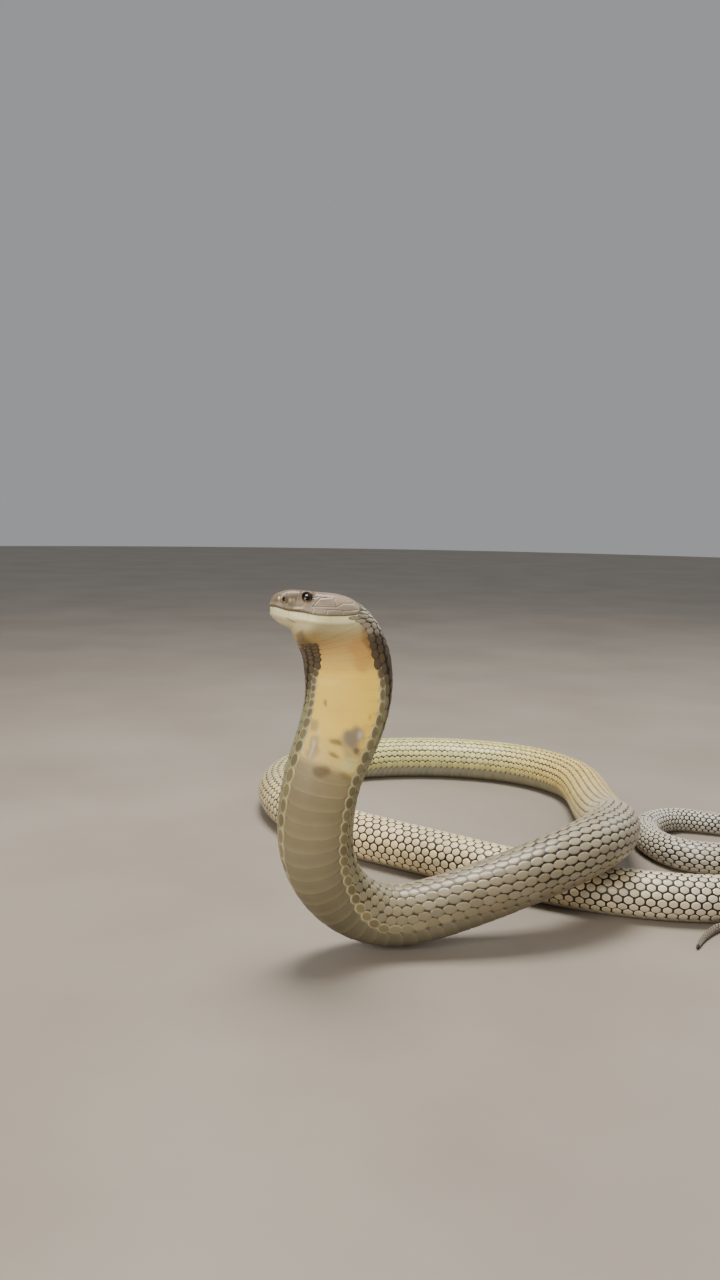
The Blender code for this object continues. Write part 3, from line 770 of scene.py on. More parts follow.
    def skin_colour(self, along: Array, share: Array, height: Array) -> Array:
        """Colour of the bare skin on back and belly.

        Args:
            along: Distances along the body.
            share: Shares of the way round.
            height: Heights over the corner of the mouth.

        Returns:
            Linear colours.
        """
        # Behind the throat the bare belly skin between the plates is darker: partly its own tone, partly
        # painted shade in the gaps between the plates.
        shade = (0.97 - 0.20 * ease(0.08, 0.13, along))[:, None]
        belly = shade * self.plate_colour(along, share, height, np.full(len(along), 0.5))
        return mix(self.bare_colour(along, share), belly, self.belly_share(along, share))


def link(tree: bpy.types.NodeTree, rows: Iterable[tuple]) -> None:
    """Link the nodes of a tree.

    Args:
        tree: The tree.
        rows: For each link a node, its output, the next node and its input.
    """
    for start, output, end, entry in rows:
        tree.links.new(start.outputs[output], end.inputs[entry])


class Edge(Enum):
    """Brightness of a plate's border beside that of its middle."""

    PALE = 1.30
    DARK = 0.62
    PLAIN = 0.92


@dataclass(frozen=True)
class Finish:
    """A glossy, keratin-like surface painted by a colour attribute, with fine grain."""

    name: str
    roughness: tuple[float, float] = (0.34, 0.50)
    grain: float = 900.0
    relief: float = 0.00005
    mottle: float = 0.10
    coat: float = 0.15
    coat_roughness: float = 0.22
    specular: float = 0.45
    cloud_scale: float = 70.0
    relief_strength: float = 0.6

    def make(self) -> bpy.types.Material:
        """Build the material's nodes.

        Returns:
            The material.
        """
        made = bpy.data.materials.new(self.name)
        made.use_nodes = True
        tree = made.node_tree
        shader = tree.nodes["Principled BSDF"]
        paint = tree.nodes.new("ShaderNodeAttribute")
        paint.attribute_name = "tint"
        where = tree.nodes.new("ShaderNodeTexCoord")
        cloud = tree.nodes.new("ShaderNodeTexNoise")
        cloud.inputs["Scale"].default_value = self.cloud_scale
        cloud.inputs["Detail"].default_value = 4.0
        spread = tree.nodes.new("ShaderNodeMapRange")
        spread.inputs["To Min"].default_value = 1.0 - self.mottle
        spread.inputs["To Max"].default_value = 1.0 + self.mottle
        shade = tree.nodes.new("ShaderNodeVectorMath")
        shade.operation = "SCALE"
        grain = tree.nodes.new("ShaderNodeTexNoise")
        grain.inputs["Scale"].default_value = self.grain
        grain.inputs["Detail"].default_value = 3.0
        rough = tree.nodes.new("ShaderNodeMapRange")
        rough.inputs["To Min"].default_value = self.roughness[0]
        rough.inputs["To Max"].default_value = self.roughness[1]
        bump = tree.nodes.new("ShaderNodeBump")
        bump.inputs["Strength"].default_value = self.relief_strength
        bump.inputs["Distance"].default_value = self.relief
        link(tree, (
            (where, "Object", cloud, "Vector"),
            (where, "Object", grain, "Vector"),
            (cloud, "Fac", spread, "Value"),
            (paint, "Color", shade, 0),
            (spread, "Result", shade, "Scale"),
            (shade, "Vector", shader, "Base Color"),
            (grain, "Fac", rough, "Value"),
            (rough, "Result", shader, "Roughness"),
            (grain, "Fac", bump, "Height"),
            (bump, "Normal", shader, "Normal"),
        ))
        shader.inputs["Specular IOR Level"].default_value = self.specular
        shader.inputs["Coat Weight"].default_value = self.coat
        shader.inputs["Coat Roughness"].default_value = self.coat_roughness
        return made


SKIN_FINISH = Finish("skin_paint", roughness=(0.38, 0.52), mottle=0.08, coat=0.10, specular=0.35)
SCALE_FINISH = Finish("scale_gloss", roughness=(0.32, 0.48), coat=0.18)
BELLY_FINISH = Finish("belly_gloss", roughness=(0.44, 0.58), coat=0.04, specular=0.28)
EYE_FINISH = Finish(
    "eye_gloss", roughness=(0.05, 0.09), relief=0.00001, mottle=0.02, coat=0.25, specular=0.30
)


def new_object(name: str, data: bpy.types.ID) -> bpy.types.Object:
    """Link a new object to the scene.

    Args:
        name: Name of the object.
        data: Its mesh, light or camera.

    Returns:
        The object.
    """
    obj = bpy.data.objects.new(name, data)
    bpy.context.collection.objects.link(obj)
    return obj


def store(mesh: bpy.types.Mesh, name: str, kind: str, values: Array) -> None:
    """Keep one value for each vertex as a named attribute.

    Args:
        mesh: The mesh.
        name: Name of the attribute.
        kind: FLOAT, FLOAT_VECTOR or FLOAT_COLOR.
        values: The values, vertex by vertex.
    """
    layer = mesh.attributes.new(name, kind, "POINT")
    field_name = {"FLOAT": "value", "FLOAT_VECTOR": "vector", "FLOAT_COLOR": "color"}[kind]
    if kind == "FLOAT_COLOR":
        values = np.concatenate([values, np.ones((len(values), 1))], axis=1)
    layer.data.foreach_set(field_name, np.ascontiguousarray(values, dtype=np.float32).ravel())


def fetch(mesh: bpy.types.Mesh, name: str, width: int) -> Array:
    """Read a named attribute back.

    Args:
        mesh: The mesh.
        name: Name of the attribute.
        width: Numbers in each value.

    Returns:
        The values, vertex by vertex.
    """
    values = np.zeros(len(mesh.vertices) * width, dtype=np.float32)
    mesh.attributes[name].data.foreach_get("value" if width == 1 else "vector", values)
    return values.reshape(-1, width).astype(float)


def positions(mesh: bpy.types.Mesh) -> Array:
    """Read the places of a mesh's vertices.

    Args:
        mesh: The mesh.

    Returns:
        One place a row.
    """
    values = np.zeros(len(mesh.vertices) * 3, dtype=np.float32)
    mesh.vertices.foreach_get("co", values)
    return values.reshape(-1, 3).astype(float)


def hidden_plate(
    name: str, vertices: list[tuple[float, float, float]], faces: list[tuple[int, ...]], border: list[float]
) -> bpy.types.Object:
    """Make the helper object of a unit plate, which the render leaves out.

    Args:
        name: Name of the plate.
        vertices: Its corners.
        faces: Its faces.
        border: How near each corner is to the border, from 0 to 1.

    Returns:
        The helper object.
    """
    mesh = bpy.data.meshes.new(name)
    mesh.from_pydata(vertices, [], faces)
    store(mesh, "border", "FLOAT", np.array(border))
    mesh.shade_smooth()
    obj = new_object(name, mesh)
    obj.hide_render = True
    return obj


@dataclass
class Sheet:
    """The whole surface under the scales, used to lay them, with its own unwrap."""

    body: BodyForm
    head: HeadForm
    spacing: float = 0.0045
    around: int = 48
    first_station: float = 4.0
    last_station: float = 17.2
    nape_rings: int = 45
    join_reach: tuple[float, float] = (0.010, 0.026)
    join_passes: int = 8
    places: Array = field(init=False)
    points: Array = field(init=False)
    outward: Array = field(init=False)
    girths: Array = field(init=False)
    nape_local: Array = field(init=False)
    nape_stations: Array = field(init=False)

    def __post_init__(self) -> None:
        """Lay out the rings from behind the snout to the tip of the tail."""
        self.nape_stations = np.linspace(self.first_station, self.last_station, self.nape_rings)
        self.nape_local = np.array([self.head.ring(t, self.around) for t in self.nape_stations])
        nape = np.array([self.head.place(t, ring) for t, ring in zip(self.nape_stations, self.nape_local)])
        count = round(self.body.length / self.spacing)
        along = np.linspace(0.0, self.body.length, count + 1)
        rings = np.concatenate([nape, self.body.rings(along, self.around)])
        self.places = np.concatenate([station_distance(self.nape_stations), along])
        rings = self.smooth_join(rings)
        self.outward = grid_normals(rings)
        lengths = np.linalg.norm(np.roll(rings, -1, axis=1) - rings, axis=2)
        self.girths = lengths.sum(axis=1)
        self.points = rings - self.outward * coat_depth(self.places)[:, None, None]

    def smooth_join(self, rings: Array) -> Array:
        """Ease the slight kink where the nape meets the neck.

        Args:
            rings: Points, ring by ring.

        Returns:
            The rings, evened out along the body near the join.
        """
        near = (1.0 - ease(*self.join_reach, np.abs(self.places)))[1:-1, None, None]
        for _ in range(self.join_passes):
            before = np.linalg.norm(rings[1:-1] - rings[:-2], axis=2, keepdims=True)
            after = np.linalg.norm(rings[2:] - rings[1:-1], axis=2, keepdims=True)
            between = (rings[:-2] * after + rings[2:] * before) / (before + after)
            rings = rings.copy()
            rings[1:-1] += 0.5 * near * (between - rings[1:-1])
        return rings

    def girth(self, at: Array) -> Array:
        """Length round the skin at these distances."""
        return np.interp(at, self.places, self.girths)

    def local(self, at: Array, share: Array) -> Array:
        """Points of the nape in the head's frame.

        Args:
            at: Distances along the body, negative on the nape.
            share: Shares of the way round.

        Returns:
            Points (back, near side, up).
        """
        station = HeadForm.stations + at / NAPE_STEP
        row = np.interp(station, self.nape_stations, np.arange(len(self.nape_stations)))
        column = np.mod(share, 1.0) * self.around
        low = np.floor(row).astype(int)
        high = np.minimum(low + 1, len(self.nape_stations) - 1)
        left = np.floor(column).astype(int) % self.around
        right = (left + 1) % self.around
        down = (row - low)[:, None]
        across = (column - np.floor(column))[:, None]
        grid = self.nape_local
        upper = grid[low, left] * (1 - across) + grid[low, right] * across
        lower = grid[high, left] * (1 - across) + grid[high, right] * across
        return upper * (1 - down) + lower * down

    def make(self) -> bpy.types.Object:
        """Build the sheet as a hidden helper mesh with its unwrap.

        Returns:
            The helper object.
        """
        rows, count = self.points.shape[:2]
        vertices = self.points.reshape(-1, 3)
        i, j = np.meshgrid(np.arange(rows - 1), np.arange(count), indexing="ij")
        nxt = (j + 1) % count
        this, after = i * count, (i + 1) * count
        faces = np.stack([this + j, this + nxt, after + nxt, after + j], axis=-1)
        mesh = bpy.data.meshes.new("lay_sheet")
        mesh.from_pydata(vertices.tolist(), [], faces.reshape(-1, 4).tolist())
        low, high = self.places[i], self.places[i + 1]
        flat = np.stack(
            [
                np.stack([low, j / count], axis=-1),
                np.stack([low, (j + 1) / count], axis=-1),
                np.stack([high, (j + 1) / count], axis=-1),
                np.stack([high, j / count], axis=-1),
            ],
            axis=2,
        )
        layer = mesh.uv_layers.new(name="lay")
        layer.data.foreach_set("uv", flat.astype(np.float32).ravel())
        store(mesh, "outward", "FLOAT_VECTOR", self.outward.reshape(-1, 3))
        obj = new_object("lay_sheet", mesh)
        obj.hide_render = True
        return obj


@dataclass(frozen=True)
class HeadPaint:
    """Palette colours of the head's shields, lips, jaw and eye rings."""

    side: Paint = (158, 141, 119)
    high_side: Paint = (106, 84, 62)
    crown: Paint = (100, 78, 56)
    snout_side: Paint = (116, 100, 74)
    snout_top: Paint = (108, 90, 66)
    cheek: Paint = (190, 174, 148)
    temple: Paint = (132, 106, 90)
    lip_shields: Paint = (154, 142, 118)
    # Painted shadow along the front of the upper lip, above the mouth line.
    lip_shadow: Paint = (96, 86, 58)
    seam: Paint = (74, 60, 50)
    # Painted highlight beside the seams.
    seam_highlight: Paint = (224, 212, 194)
    jaw: Paint = (255, 245, 188)
    # Painted shade towards the underside of the jaw.
    jaw_underside_shade: Paint = (196, 184, 138)
    jaw_front: Paint = (216, 202, 166)
    jaw_crease: Paint = (122, 100, 62)
    jaw_seam: Paint = (150, 134, 104)
    mouth: Paint = (66, 54, 42)
    # Painted shade round the eye opening.
    eye_ring_shade: Paint = (58, 44, 34)


@dataclass
class Skin:
    """The one closed skin from snout to tail tip, fine over the head and coarser along the body."""

    sheet: Sheet
    markings: Markings
    head_rings: int = 230
    head_around: int = 240
    join_station: float = 13.5
    seam_depth: float = 0.00040
    seam_width: float = 0.00038
    eye_opening: float = 0.0046
    shield_relief: float = 0.00022
    shield_slope: float = 0.0022
    chin_seam_share: float = 0.45
    mouth_line: Swell = Swell(-0.0011, 0.0, 0.00055)
    upper_lip: Swell = Swell(0.00045, 0.0022, 0.0018)
    lower_lip: Swell = Swell(-0.00065, -0.0012, 0.0032)
    jaw_edge: Swell = Swell(0.0007, -0.0070, 0.0036)
    brow: Swell = Swell(0.0011, 0.0068, 0.0016)
    lore: Swell = Swell(-0.0006, 0.0, 0.0034)
    eye_rim: Swell = Swell(0.00065, 0.0055, 0.0008)
    eye_depth: float = 0.0045
    nostril_rim: Swell = Swell(0.0004, 0.0021, 0.0008)
    nostril_depth: float = 0.0020
    throat_fold: Swell = Swell(-0.00018, 3.1, 0.7)
    fold_spacing: float = 6.2
    paint: HeadPaint = HeadPaint()
    far_off: float = 9.0
    facing_top: float = 0.62
    labial_tops: tuple[float, float] = (5.6, 4.6)
    labial_lean: float = 1.6
    chin_seam_lean: float = 1.0
    chin_seam_drop: float = 5.0
    dome: tuple[float, ...] = (0.06, 0.25, 0.45, 0.65, 0.83, 0.94)
    dome_height: float = 0.0011
    tip_length: float = 0.002

    def head_ring_stations(self) -> Array:
        """Stations of the fine rings, a little closer at the snout."""
        share = np.linspace(0.0, 1.0, self.head_rings)
        return self.join_station * (0.55 * share + 0.45 * share**1.6)

    def seams(self, back: Array, side: Array, up: Array, facing_up: Array) -> tuple[Array, Array]:
        """How near each point is to a seam between two shields.

        Args:
            back: Places along the head.
            side: Places across the head.
            up: Heights.
            facing_up: Upward part of the normal.

        Returns:
            Distances from the nearest seam on upper head and lower jaw, in metres.
        """
        mouth = mouth_height(back)
        flat = np.stack([back, up], axis=1) * MILLIMETRES
        over = np.stack([back, np.abs(side)], axis=1) * MILLIMETRES
        on_side = np.full(len(back), self.far_off)
        for line in SIDE_SEAMS:
            on_side = np.minimum(on_side, line_distance(flat, line))
        for place in LABIAL_SEAMS:
            foot = MILLIMETRES * float(mouth_height(place / MILLIMETRES))
            top = foot + self.labial_tops[0 if place < -50 else 1]
            line = ((place, foot), (place + self.labial_lean, top))
            on_side = np.minimum(on_side, line_distance(flat, line))
        on_top = np.full(len(back), self.far_off)
        for line in TOP_SEAMS:
            on_top = np.minimum(on_top, line_distance(over, line))
        upper = np.where(facing_up > self.facing_top, on_top, on_side)
        upper = np.where(up > mouth, upper, self.far_off)
        lower = line_distance(flat, CHIN_EDGE)
        for place in CHIN_SEAMS:
            foot = MILLIMETRES * float(mouth_height(place / MILLIMETRES))
            line = ((place, foot), (place + self.chin_seam_lean, foot - self.chin_seam_drop))
            lower = np.minimum(lower, line_distance(flat, line))
        lower = np.where(up <= mouth, lower, self.far_off)
        return upper / MILLIMETRES, lower / MILLIMETRES

    def sculpt(self, stations: Array, rings: Array, normals: Array) -> tuple[Array, Array]:
        """Raise lips, brows and shields, and sink seams, nostrils and eye openings.

        Args:
            stations: Station of each ring.
            rings: Points in the head's frame, ring by ring.
            normals: Outward normals in that frame.

        Returns:
            The moved points, and linear colours for them.
        """
        count = rings.shape[1]
        flat = rings.reshape(-1, 3)
        normal = normals.reshape(-1, 3)
        station = np.repeat(stations, count)
        back, side, up = flat[:, 0], flat[:, 1], flat[:, 2]
        gape = 1.0 - ease(0.0030, 0.0075, back)
        over = up - mouth_height(back)
        lateral = ease(0.15, 0.45, np.abs(normal[:, 1]) + np.maximum(0.0, -normal[:, 0] - 0.3))
        upper_seam, lower_seam = self.seams(back, side, up, normal[:, 2])
        shielded = 1.0 - ease(0.0015, 0.0045, back)
        chin_zone = (1.0 - ease(-0.002, 0.006, back)) * ease(-0.0115, -0.0085, over)
        move = np.zeros(len(flat))
        seam_share = 0.30 + 0.70 * ease(-0.056, -0.046, back)
        move -= self.seam_depth * seam_share * bell(upper_seam, self.seam_width) * shielded
        between = ease(0.0, self.shield_slope, upper_seam) * (over > 0)
        move += self.shield_relief * seam_share * between * shielded
        move -= self.chin_seam_share * self.seam_depth * bell(lower_seam, self.seam_width) * chin_zone
        move += self.mouth_line.at(over) * gape * lateral
        move += self.upper_lip.at(over) * gape * lateral
        move += self.lower_lip.at(over) * ease(0.0002, -0.0010, over) * gape * lateral
        move += self.jaw_edge.at(over) * (1 - ease(-0.012, 0.006, back)) * lateral
        from_ball = np.stack([back - EYE_PLACE[0], np.abs(side) - EYE_LATERAL, up - EYE_PLACE[1]], axis=1)
        ahead = from_ball @ np.array([0.0, math.cos(EYE_TILT), math.sin(EYE_TILT)])
        above = from_ball @ np.array([0.0, -math.sin(EYE_TILT), math.cos(EYE_TILT)])
        eye = np.hypot(from_ball[:, 0], above)
        on_eye = (ahead > 0) & (eye < 0.02)
        move += self.brow.at(eye) * ease(0.1, 0.9, above / np.maximum(eye, 1e-6)) * on_eye
        move += self.lore.at(np.hypot((back + 0.060) / 2.0, up - 0.0145)) * (np.abs(side) > 0.008)
        move += self.eye_rim.at(eye) * on_eye
        inside = 1.0 - ease(self.eye_opening - 0.0003, self.eye_opening + 0.0003, eye)
        move -= self.eye_depth * inside * on_eye
        nostril = np.hypot(back - NOSTRIL_PLACE[0], (up - NOSTRIL_PLACE[1]) * 0.62)
        on_snout = np.abs(side) > 0.006
        move -= self.nostril_depth * (1.0 - ease(0.0007, 0.0015, nostril)) * on_snout
        move += self.nostril_rim.at(nostril) * on_snout
        folds = self.throat_fold.at(np.mod(back * MILLIMETRES + up * 350, self.fold_spacing))
        under = ease(-0.010, -0.016, over) * ease(-0.056, -0.045, back) * (1 - ease(0.02, 0.03, back))
        move += folds * under
        moved = flat + normal * move[:, None]
        colour = self.head_colour(flat, normal, over, upper_seam, lower_seam, chin_zone)
        on_nape = ease(0.003, 0.009, back)
        along = station_distance(station)
        share = np.tile(np.arange(count) / count, len(stations))
        below = ease(-0.0085, -0.0165, over) * (1 - on_nape)
        height = self.sheet.head.height(station, side, up)
        throat = self.markings.plate_colour(along, share, height, np.full(len(along), 0.5))
        under = ease(-0.004, -0.012, over) * (1 - ease(11.8, 13.2, station))
        on_belly = np.maximum(self.markings.belly_share(along, share), under)
        nape = mix(self.markings.bare_colour(along, share), throat, on_belly)
        colour = mix(mix(colour, nape, on_nape), throat, below)
        # Painted shade: a dark ring round the eye opening for the shade of the socket and the brow.
        colour = mix(colour, linear(self.paint.eye_ring_shade), (1 - ease(0.0052, 0.0060, eye)) * on_eye)
        colour = mix(colour, np.zeros(3), 0.9 * (1 - ease(0.0009, 0.0017, nostril)) * on_snout)
        return moved.reshape(rings.shape), colour.reshape(rings.shape)

    def head_colour(
        self, flat: Array, normal: Array, over: Array, upper_seam: Array, lower_seam: Array, chin_zone: Array
    ) -> Array:
        """Paint of the head's shields, lips and chin.

        Args:
            flat: Points in the head's frame.
            normal: Outward normals.
            over: Height above the mouth line.
            upper_seam: Distance from a seam of the upper head.
            lower_seam: Distance from a seam of the lower jaw.
            chin_zone: 1 where the chin's shields are.

        Returns:
            Linear colours.
        """
        shade = self.paint
        back, up = flat[:, 0], flat[:, 2]
        top = ease(0.45, 0.85, normal[:, 2])
        snout = 1 - ease(-0.066, -0.050, back)
        colour = np.tile(linear(shade.side), (len(back), 1))
        colour = mix(colour, linear(shade.high_side), ease(0.0100, 0.0150, up))
        colour = mix(colour, linear(shade.crown), top)
        snout_colour = np.tile(linear(shade.snout_side), (len(back), 1))
        colour = mix(colour, mix(snout_colour, linear(shade.snout_top), top), snout)
        cheek = bell(np.hypot((back + 0.012) / 1.7, up - 0.0095), 0.0085)
        colour = mix(colour, linear(shade.cheek), 0.6 * cheek)
        temple = bell(np.hypot((back + 0.027) / 1.8, up - 0.0115), 0.0050)
        colour = mix(colour, linear(shade.temple), 0.5 * temple)
        labial = ease(0.0062, 0.0030, over) * (over > 0)
        colour = mix(colour, linear(shade.lip_shields), 0.45 * labial)
        # Painted shadow: a dark band along the front of the upper lip, just above the mouth line, where the
        # lip turns down into shade.
        lip_shadow_band = ease(0.0030, 0.0010, over) * (over > 0) * (1 - ease(-0.050, -0.036, back))
        colour = mix(colour, linear(shade.lip_shadow), 0.75 * lip_shadow_band)
        for centre, size, paint, strength in HEAD_MARKS:
            off = np.hypot((back - centre[0]) / size[0], (up - centre[1]) / size[1])
            colour = mix(colour, linear(paint), strength * (1 - ease(0.45, 1.30, off)))
        behind = ease(-0.054, -0.044, back)
        # Painted highlight: a pale line beside each seam behind the eye, where the glossy edges of the
        # shields catch the light.
        pale = 0.55 * bell(upper_seam - 0.00085, 0.00036) * behind * (1 - 0.6 * top)
        colour = mix(colour, linear(shade.seam_highlight), pale)
        seam = bell(upper_seam, 0.00040) * (0.80 - 0.35 * top) * (0.25 + 0.75 * behind)
        colour = mix(colour, linear(shade.seam), seam)
        jaw = np.tile(linear(shade.jaw), (len(back), 1))
        # Painted shade: the jaw darkens towards its underside, which faces down.
        jaw = mix(jaw, linear(shade.jaw_underside_shade), ease(-0.0052, -0.0092, over))
        jaw = mix(jaw, linear(shade.jaw_front), 0.6 * (1 - ease(-0.080, -0.060, back)))
        crease = bell(line_distance(np.stack([back, up], axis=1), CHIN_CREASE), 0.0006)
        jaw = mix(jaw, linear(shade.jaw_crease), 0.7 * crease)
        jaw = mix(jaw, linear(shade.jaw_seam), 0.22 * bell(lower_seam, 0.0005) * chin_zone)
        colour = mix(colour, jaw, ease(0.0003, -0.0003, over))
        lip = bell(over, 0.00055) * (1 - ease(0.003, 0.007, back))
        return mix(colour, linear(shade.mouth), 0.85 * lip)

    def snout_rings(self, first: Array) -> Array:
        """Rings that close the snout in a low dome.

        Args:
            first: The foremost ring, in the head's frame.

        Returns:
            Rings from the middle of the snout out to that ring.
        """
        middle = first.mean(axis=0)
        rings = []
        for part in self.dome:
            ring = middle + (first - middle) * part
            ring[:, 0] -= self.dome_height * math.sqrt(1 - part**2)
            rings.append(ring)
        return np.array(rings)

    def make(self, finish: bpy.types.Material) -> bpy.types.Object:
        """Build the skin.

        Args:
            finish: Its material.

        Returns:
            The skin as one closed mesh.
        """
        head = self.sheet.head
        stations = self.head_ring_stations()
        rings = np.array([head.ring(t, self.head_around) for t in stations])
        cap = self.snout_rings(rings[0])
        rings = np.concatenate([cap, rings])
        stations = np.concatenate([np.zeros(len(cap)), stations])
        normals = grid_normals(rings)
        depth = coat_depth(station_distance(stations))[:, None, None]
        moved, colour = self.sculpt(stations, rings - normals * depth, normals)
        fine = np.array([head.place(t, ring) for t, ring in zip(stations, moved)])
        rest = self.sheet.places > float(station_distance(self.join_station)) + 0.001
        coarse = self.sheet.points[rest]
        places = np.repeat(self.sheet.places[rest], self.sheet.around)
        shares = np.tile(np.arange(self.sheet.around) / self.sheet.around, int(rest.sum()))
        shares = shares - self.markings.roll.at(places)
        heights = coarse[:, :, 2].ravel() - HEAD_PIVOT[2]
        coarse_colour = self.markings.skin_colour(places, shares, heights)
        many, few = self.head_around, self.sheet.around
        nose = fine[0].mean(axis=0)
        end_middle = coarse[-1].mean(axis=0)
        tip = end_middle + unit(end_middle - coarse[-4].mean(axis=0)) * self.tip_length
        vertices = np.concatenate([fine.reshape(-1, 3), coarse.reshape(-1, 3), [nose, tip]])
        faces: list[tuple[int, ...]] = []
        for row in range(len(fine) - 1):
            faces.extend(band(row * many, many))
        last = (len(fine) - 1) * many
        start = len(fine) * many
        ratio = many // few
        for k in range(few):
            wide = [last + (k * ratio + n) % many for n in range(ratio + 1)]
            faces.append((*wide, start + (k + 1) % few, start + k))
        for row in range(len(coarse) - 1):
            faces.extend(band(start + row * few, few))
        nose_at, tip_at = len(vertices) - 2, len(vertices) - 1
        end = start + (len(coarse) - 1) * few
        faces.extend((nose_at, (k + 1) % many, k) for k in range(many))
        faces.extend((tip_at, end + k, end + (k + 1) % few) for k in range(few))
        mesh = bpy.data.meshes.new("skin")
        mesh.from_pydata(vertices.tolist(), [], faces)
        ends = np.stack([colour[0].mean(axis=0), coarse_colour[-1]])
        store(mesh, "tint", "FLOAT_COLOR", np.concatenate([colour.reshape(-1, 3), coarse_colour, ends]))
        mesh.flip_normals()
        mesh.shade_smooth()
        mesh.materials.append(finish)
        return new_object("skin", mesh)


@dataclass(frozen=True)
class Plate:
    """One scale as a low domed plate of unit size.

    The steps go from the border to the middle, each a share of the outline and a height. Tucked is
    the height of the front edge as a share of the free edge's.
    """

    name: str
    outline: tuple[tuple[float, float], ...]
    steps: tuple[tuple[float, float], ...] = ((1.0, -0.30), (0.90, 0.62), (0.60, 0.94))
    inside: float = 0.6
    tucked: float = 0.40

    def make(self) -> bpy.types.Object:
        """Build the plate as a hidden helper mesh.

        Returns:
            The helper object.
        """
        outline = np.array(self.outline)
        count = len(outline)
        vertices, border = [], []
        for part, height in self.steps:
            for a, b in outline * part:
                lean = self.tucked + (1 - self.tucked) * (a + 1) / 2
                vertices.append((a, b, height * (lean if height > 0 else 1.0)))
                border.append(max(0.0, (part - self.inside) / (1 - self.inside)))
        vertices.append((0.0, 0.0, 0.5 + self.tucked / 2))
        border.append(0.0)
        faces: list[tuple[int, ...]] = []
        for row in range(len(self.steps) - 1):
            faces.extend(band(row * count, count))
        inner = (len(self.steps) - 1) * count
        faces.extend((inner + k, inner + (k + 1) % count, len(vertices) - 1) for k in range(count))
        return hidden_plate(self.name, vertices, faces, border)


@dataclass(frozen=True)
class BroadPlate:
    """One belly plate of unit size, as broad as the belly, with rounded ends and a raised free edge.

    Each row is a place along the plate, a height and how near it is to the free edge.
    """

    name: str
    columns: tuple[float, ...] = (
        -1.0, -0.985, -0.94, -0.84, -0.68, -0.50, -0.30, -0.10,
        0.10, 0.30, 0.50, 0.68, 0.84, 0.94, 0.985, 1.0,
    )
    rows: tuple[tuple[float, float, float], ...] = (
        (-1.0, -0.2, 0.0), (-0.60, 0.42, 0.0), (0.20, 0.75, 0.1), (0.80, 1.0, 0.6),
        (0.93, 0.92, 1.0), (1.0, -0.25, 1.0),
    )
    round_from: float = 0.76
    arch: float = 0.32
    end_length: float = 0.08
    tuck: float = -0.25
    outermost: float = 0.995

    def make(self) -> bpy.types.Object:
        """Build the plate as a hidden helper mesh.

        Returns:
            The helper object.
        """
        vertices, border = [], []
        for along, height, rim in self.rows:
            for b in self.columns:
                over = max(0.0, (abs(b) - self.round_from) / (1 - self.round_from))
                reach = math.sqrt(max(0.0, 1 - over**2)) * (1 - self.end_length) + self.end_length
                drop = self.tuck if abs(b) > self.outermost else 1.0 - 0.3 * over**3
                a = along * reach - self.arch * b * b
                vertices.append((a, b, height * drop if height > 0 and drop > 0 else min(height, drop)))
                border.append(max(rim, 0.9 * ease(0.90, 0.99, abs(b))))
        count = len(self.columns)
        faces = []
        for row in range(len(self.rows) - 1):
            for k in range(count - 1):
                low = row * count + k
                faces.append((low, low + count, low + count + 1, low + 1))
        return hidden_plate(self.name, vertices, faces, border)


LOZENGE_PLATE = Plate("lozenge_plate", (
    (1.0, 0.0), (0.84, 0.46), (0.52, 0.86), (0.16, 1.0), (-0.22, 1.0), (-0.58, 0.80), (-0.88, 0.40),
    (-1.0, 0.0), (-0.88, -0.40), (-0.58, -0.80), (-0.22, -1.0), (0.16, -1.0), (0.52, -0.86),
    (0.84, -0.46),
))
PEBBLE_PLATE = Plate("pebble_plate", (
    (1.0, -0.30), (1.0, 0.30), (0.82, 0.60), (0.22, 0.94), (-0.22, 0.94), (-0.82, 0.60), (-1.0, 0.30),
    (-1.0, -0.30), (-0.82, -0.60), (-0.22, -0.94), (0.22, -0.94), (0.82, -0.60),
), tucked=0.60)
WIDE_PLATE = BroadPlate(
    "wide_plate",
    columns=(-1.0, -0.985, -0.94, -0.86, *np.linspace(-0.78, 0.78, 21), 0.86, 0.94, 0.985, 1.0),
    rows=(
        (-1.0, -0.2, 0.0), (-0.8, 0.05, 0.0), (-0.55, 0.25, 0.0), (-0.3, 0.4, 0.0), (0.0, 0.55, 0.0),
        (0.3, 0.7, 0.1), (0.55, 0.85, 0.3), (0.8, 1.0, 0.6), (0.93, 0.92, 1.0), (1.0, -0.25, 1.0),
    ),
)


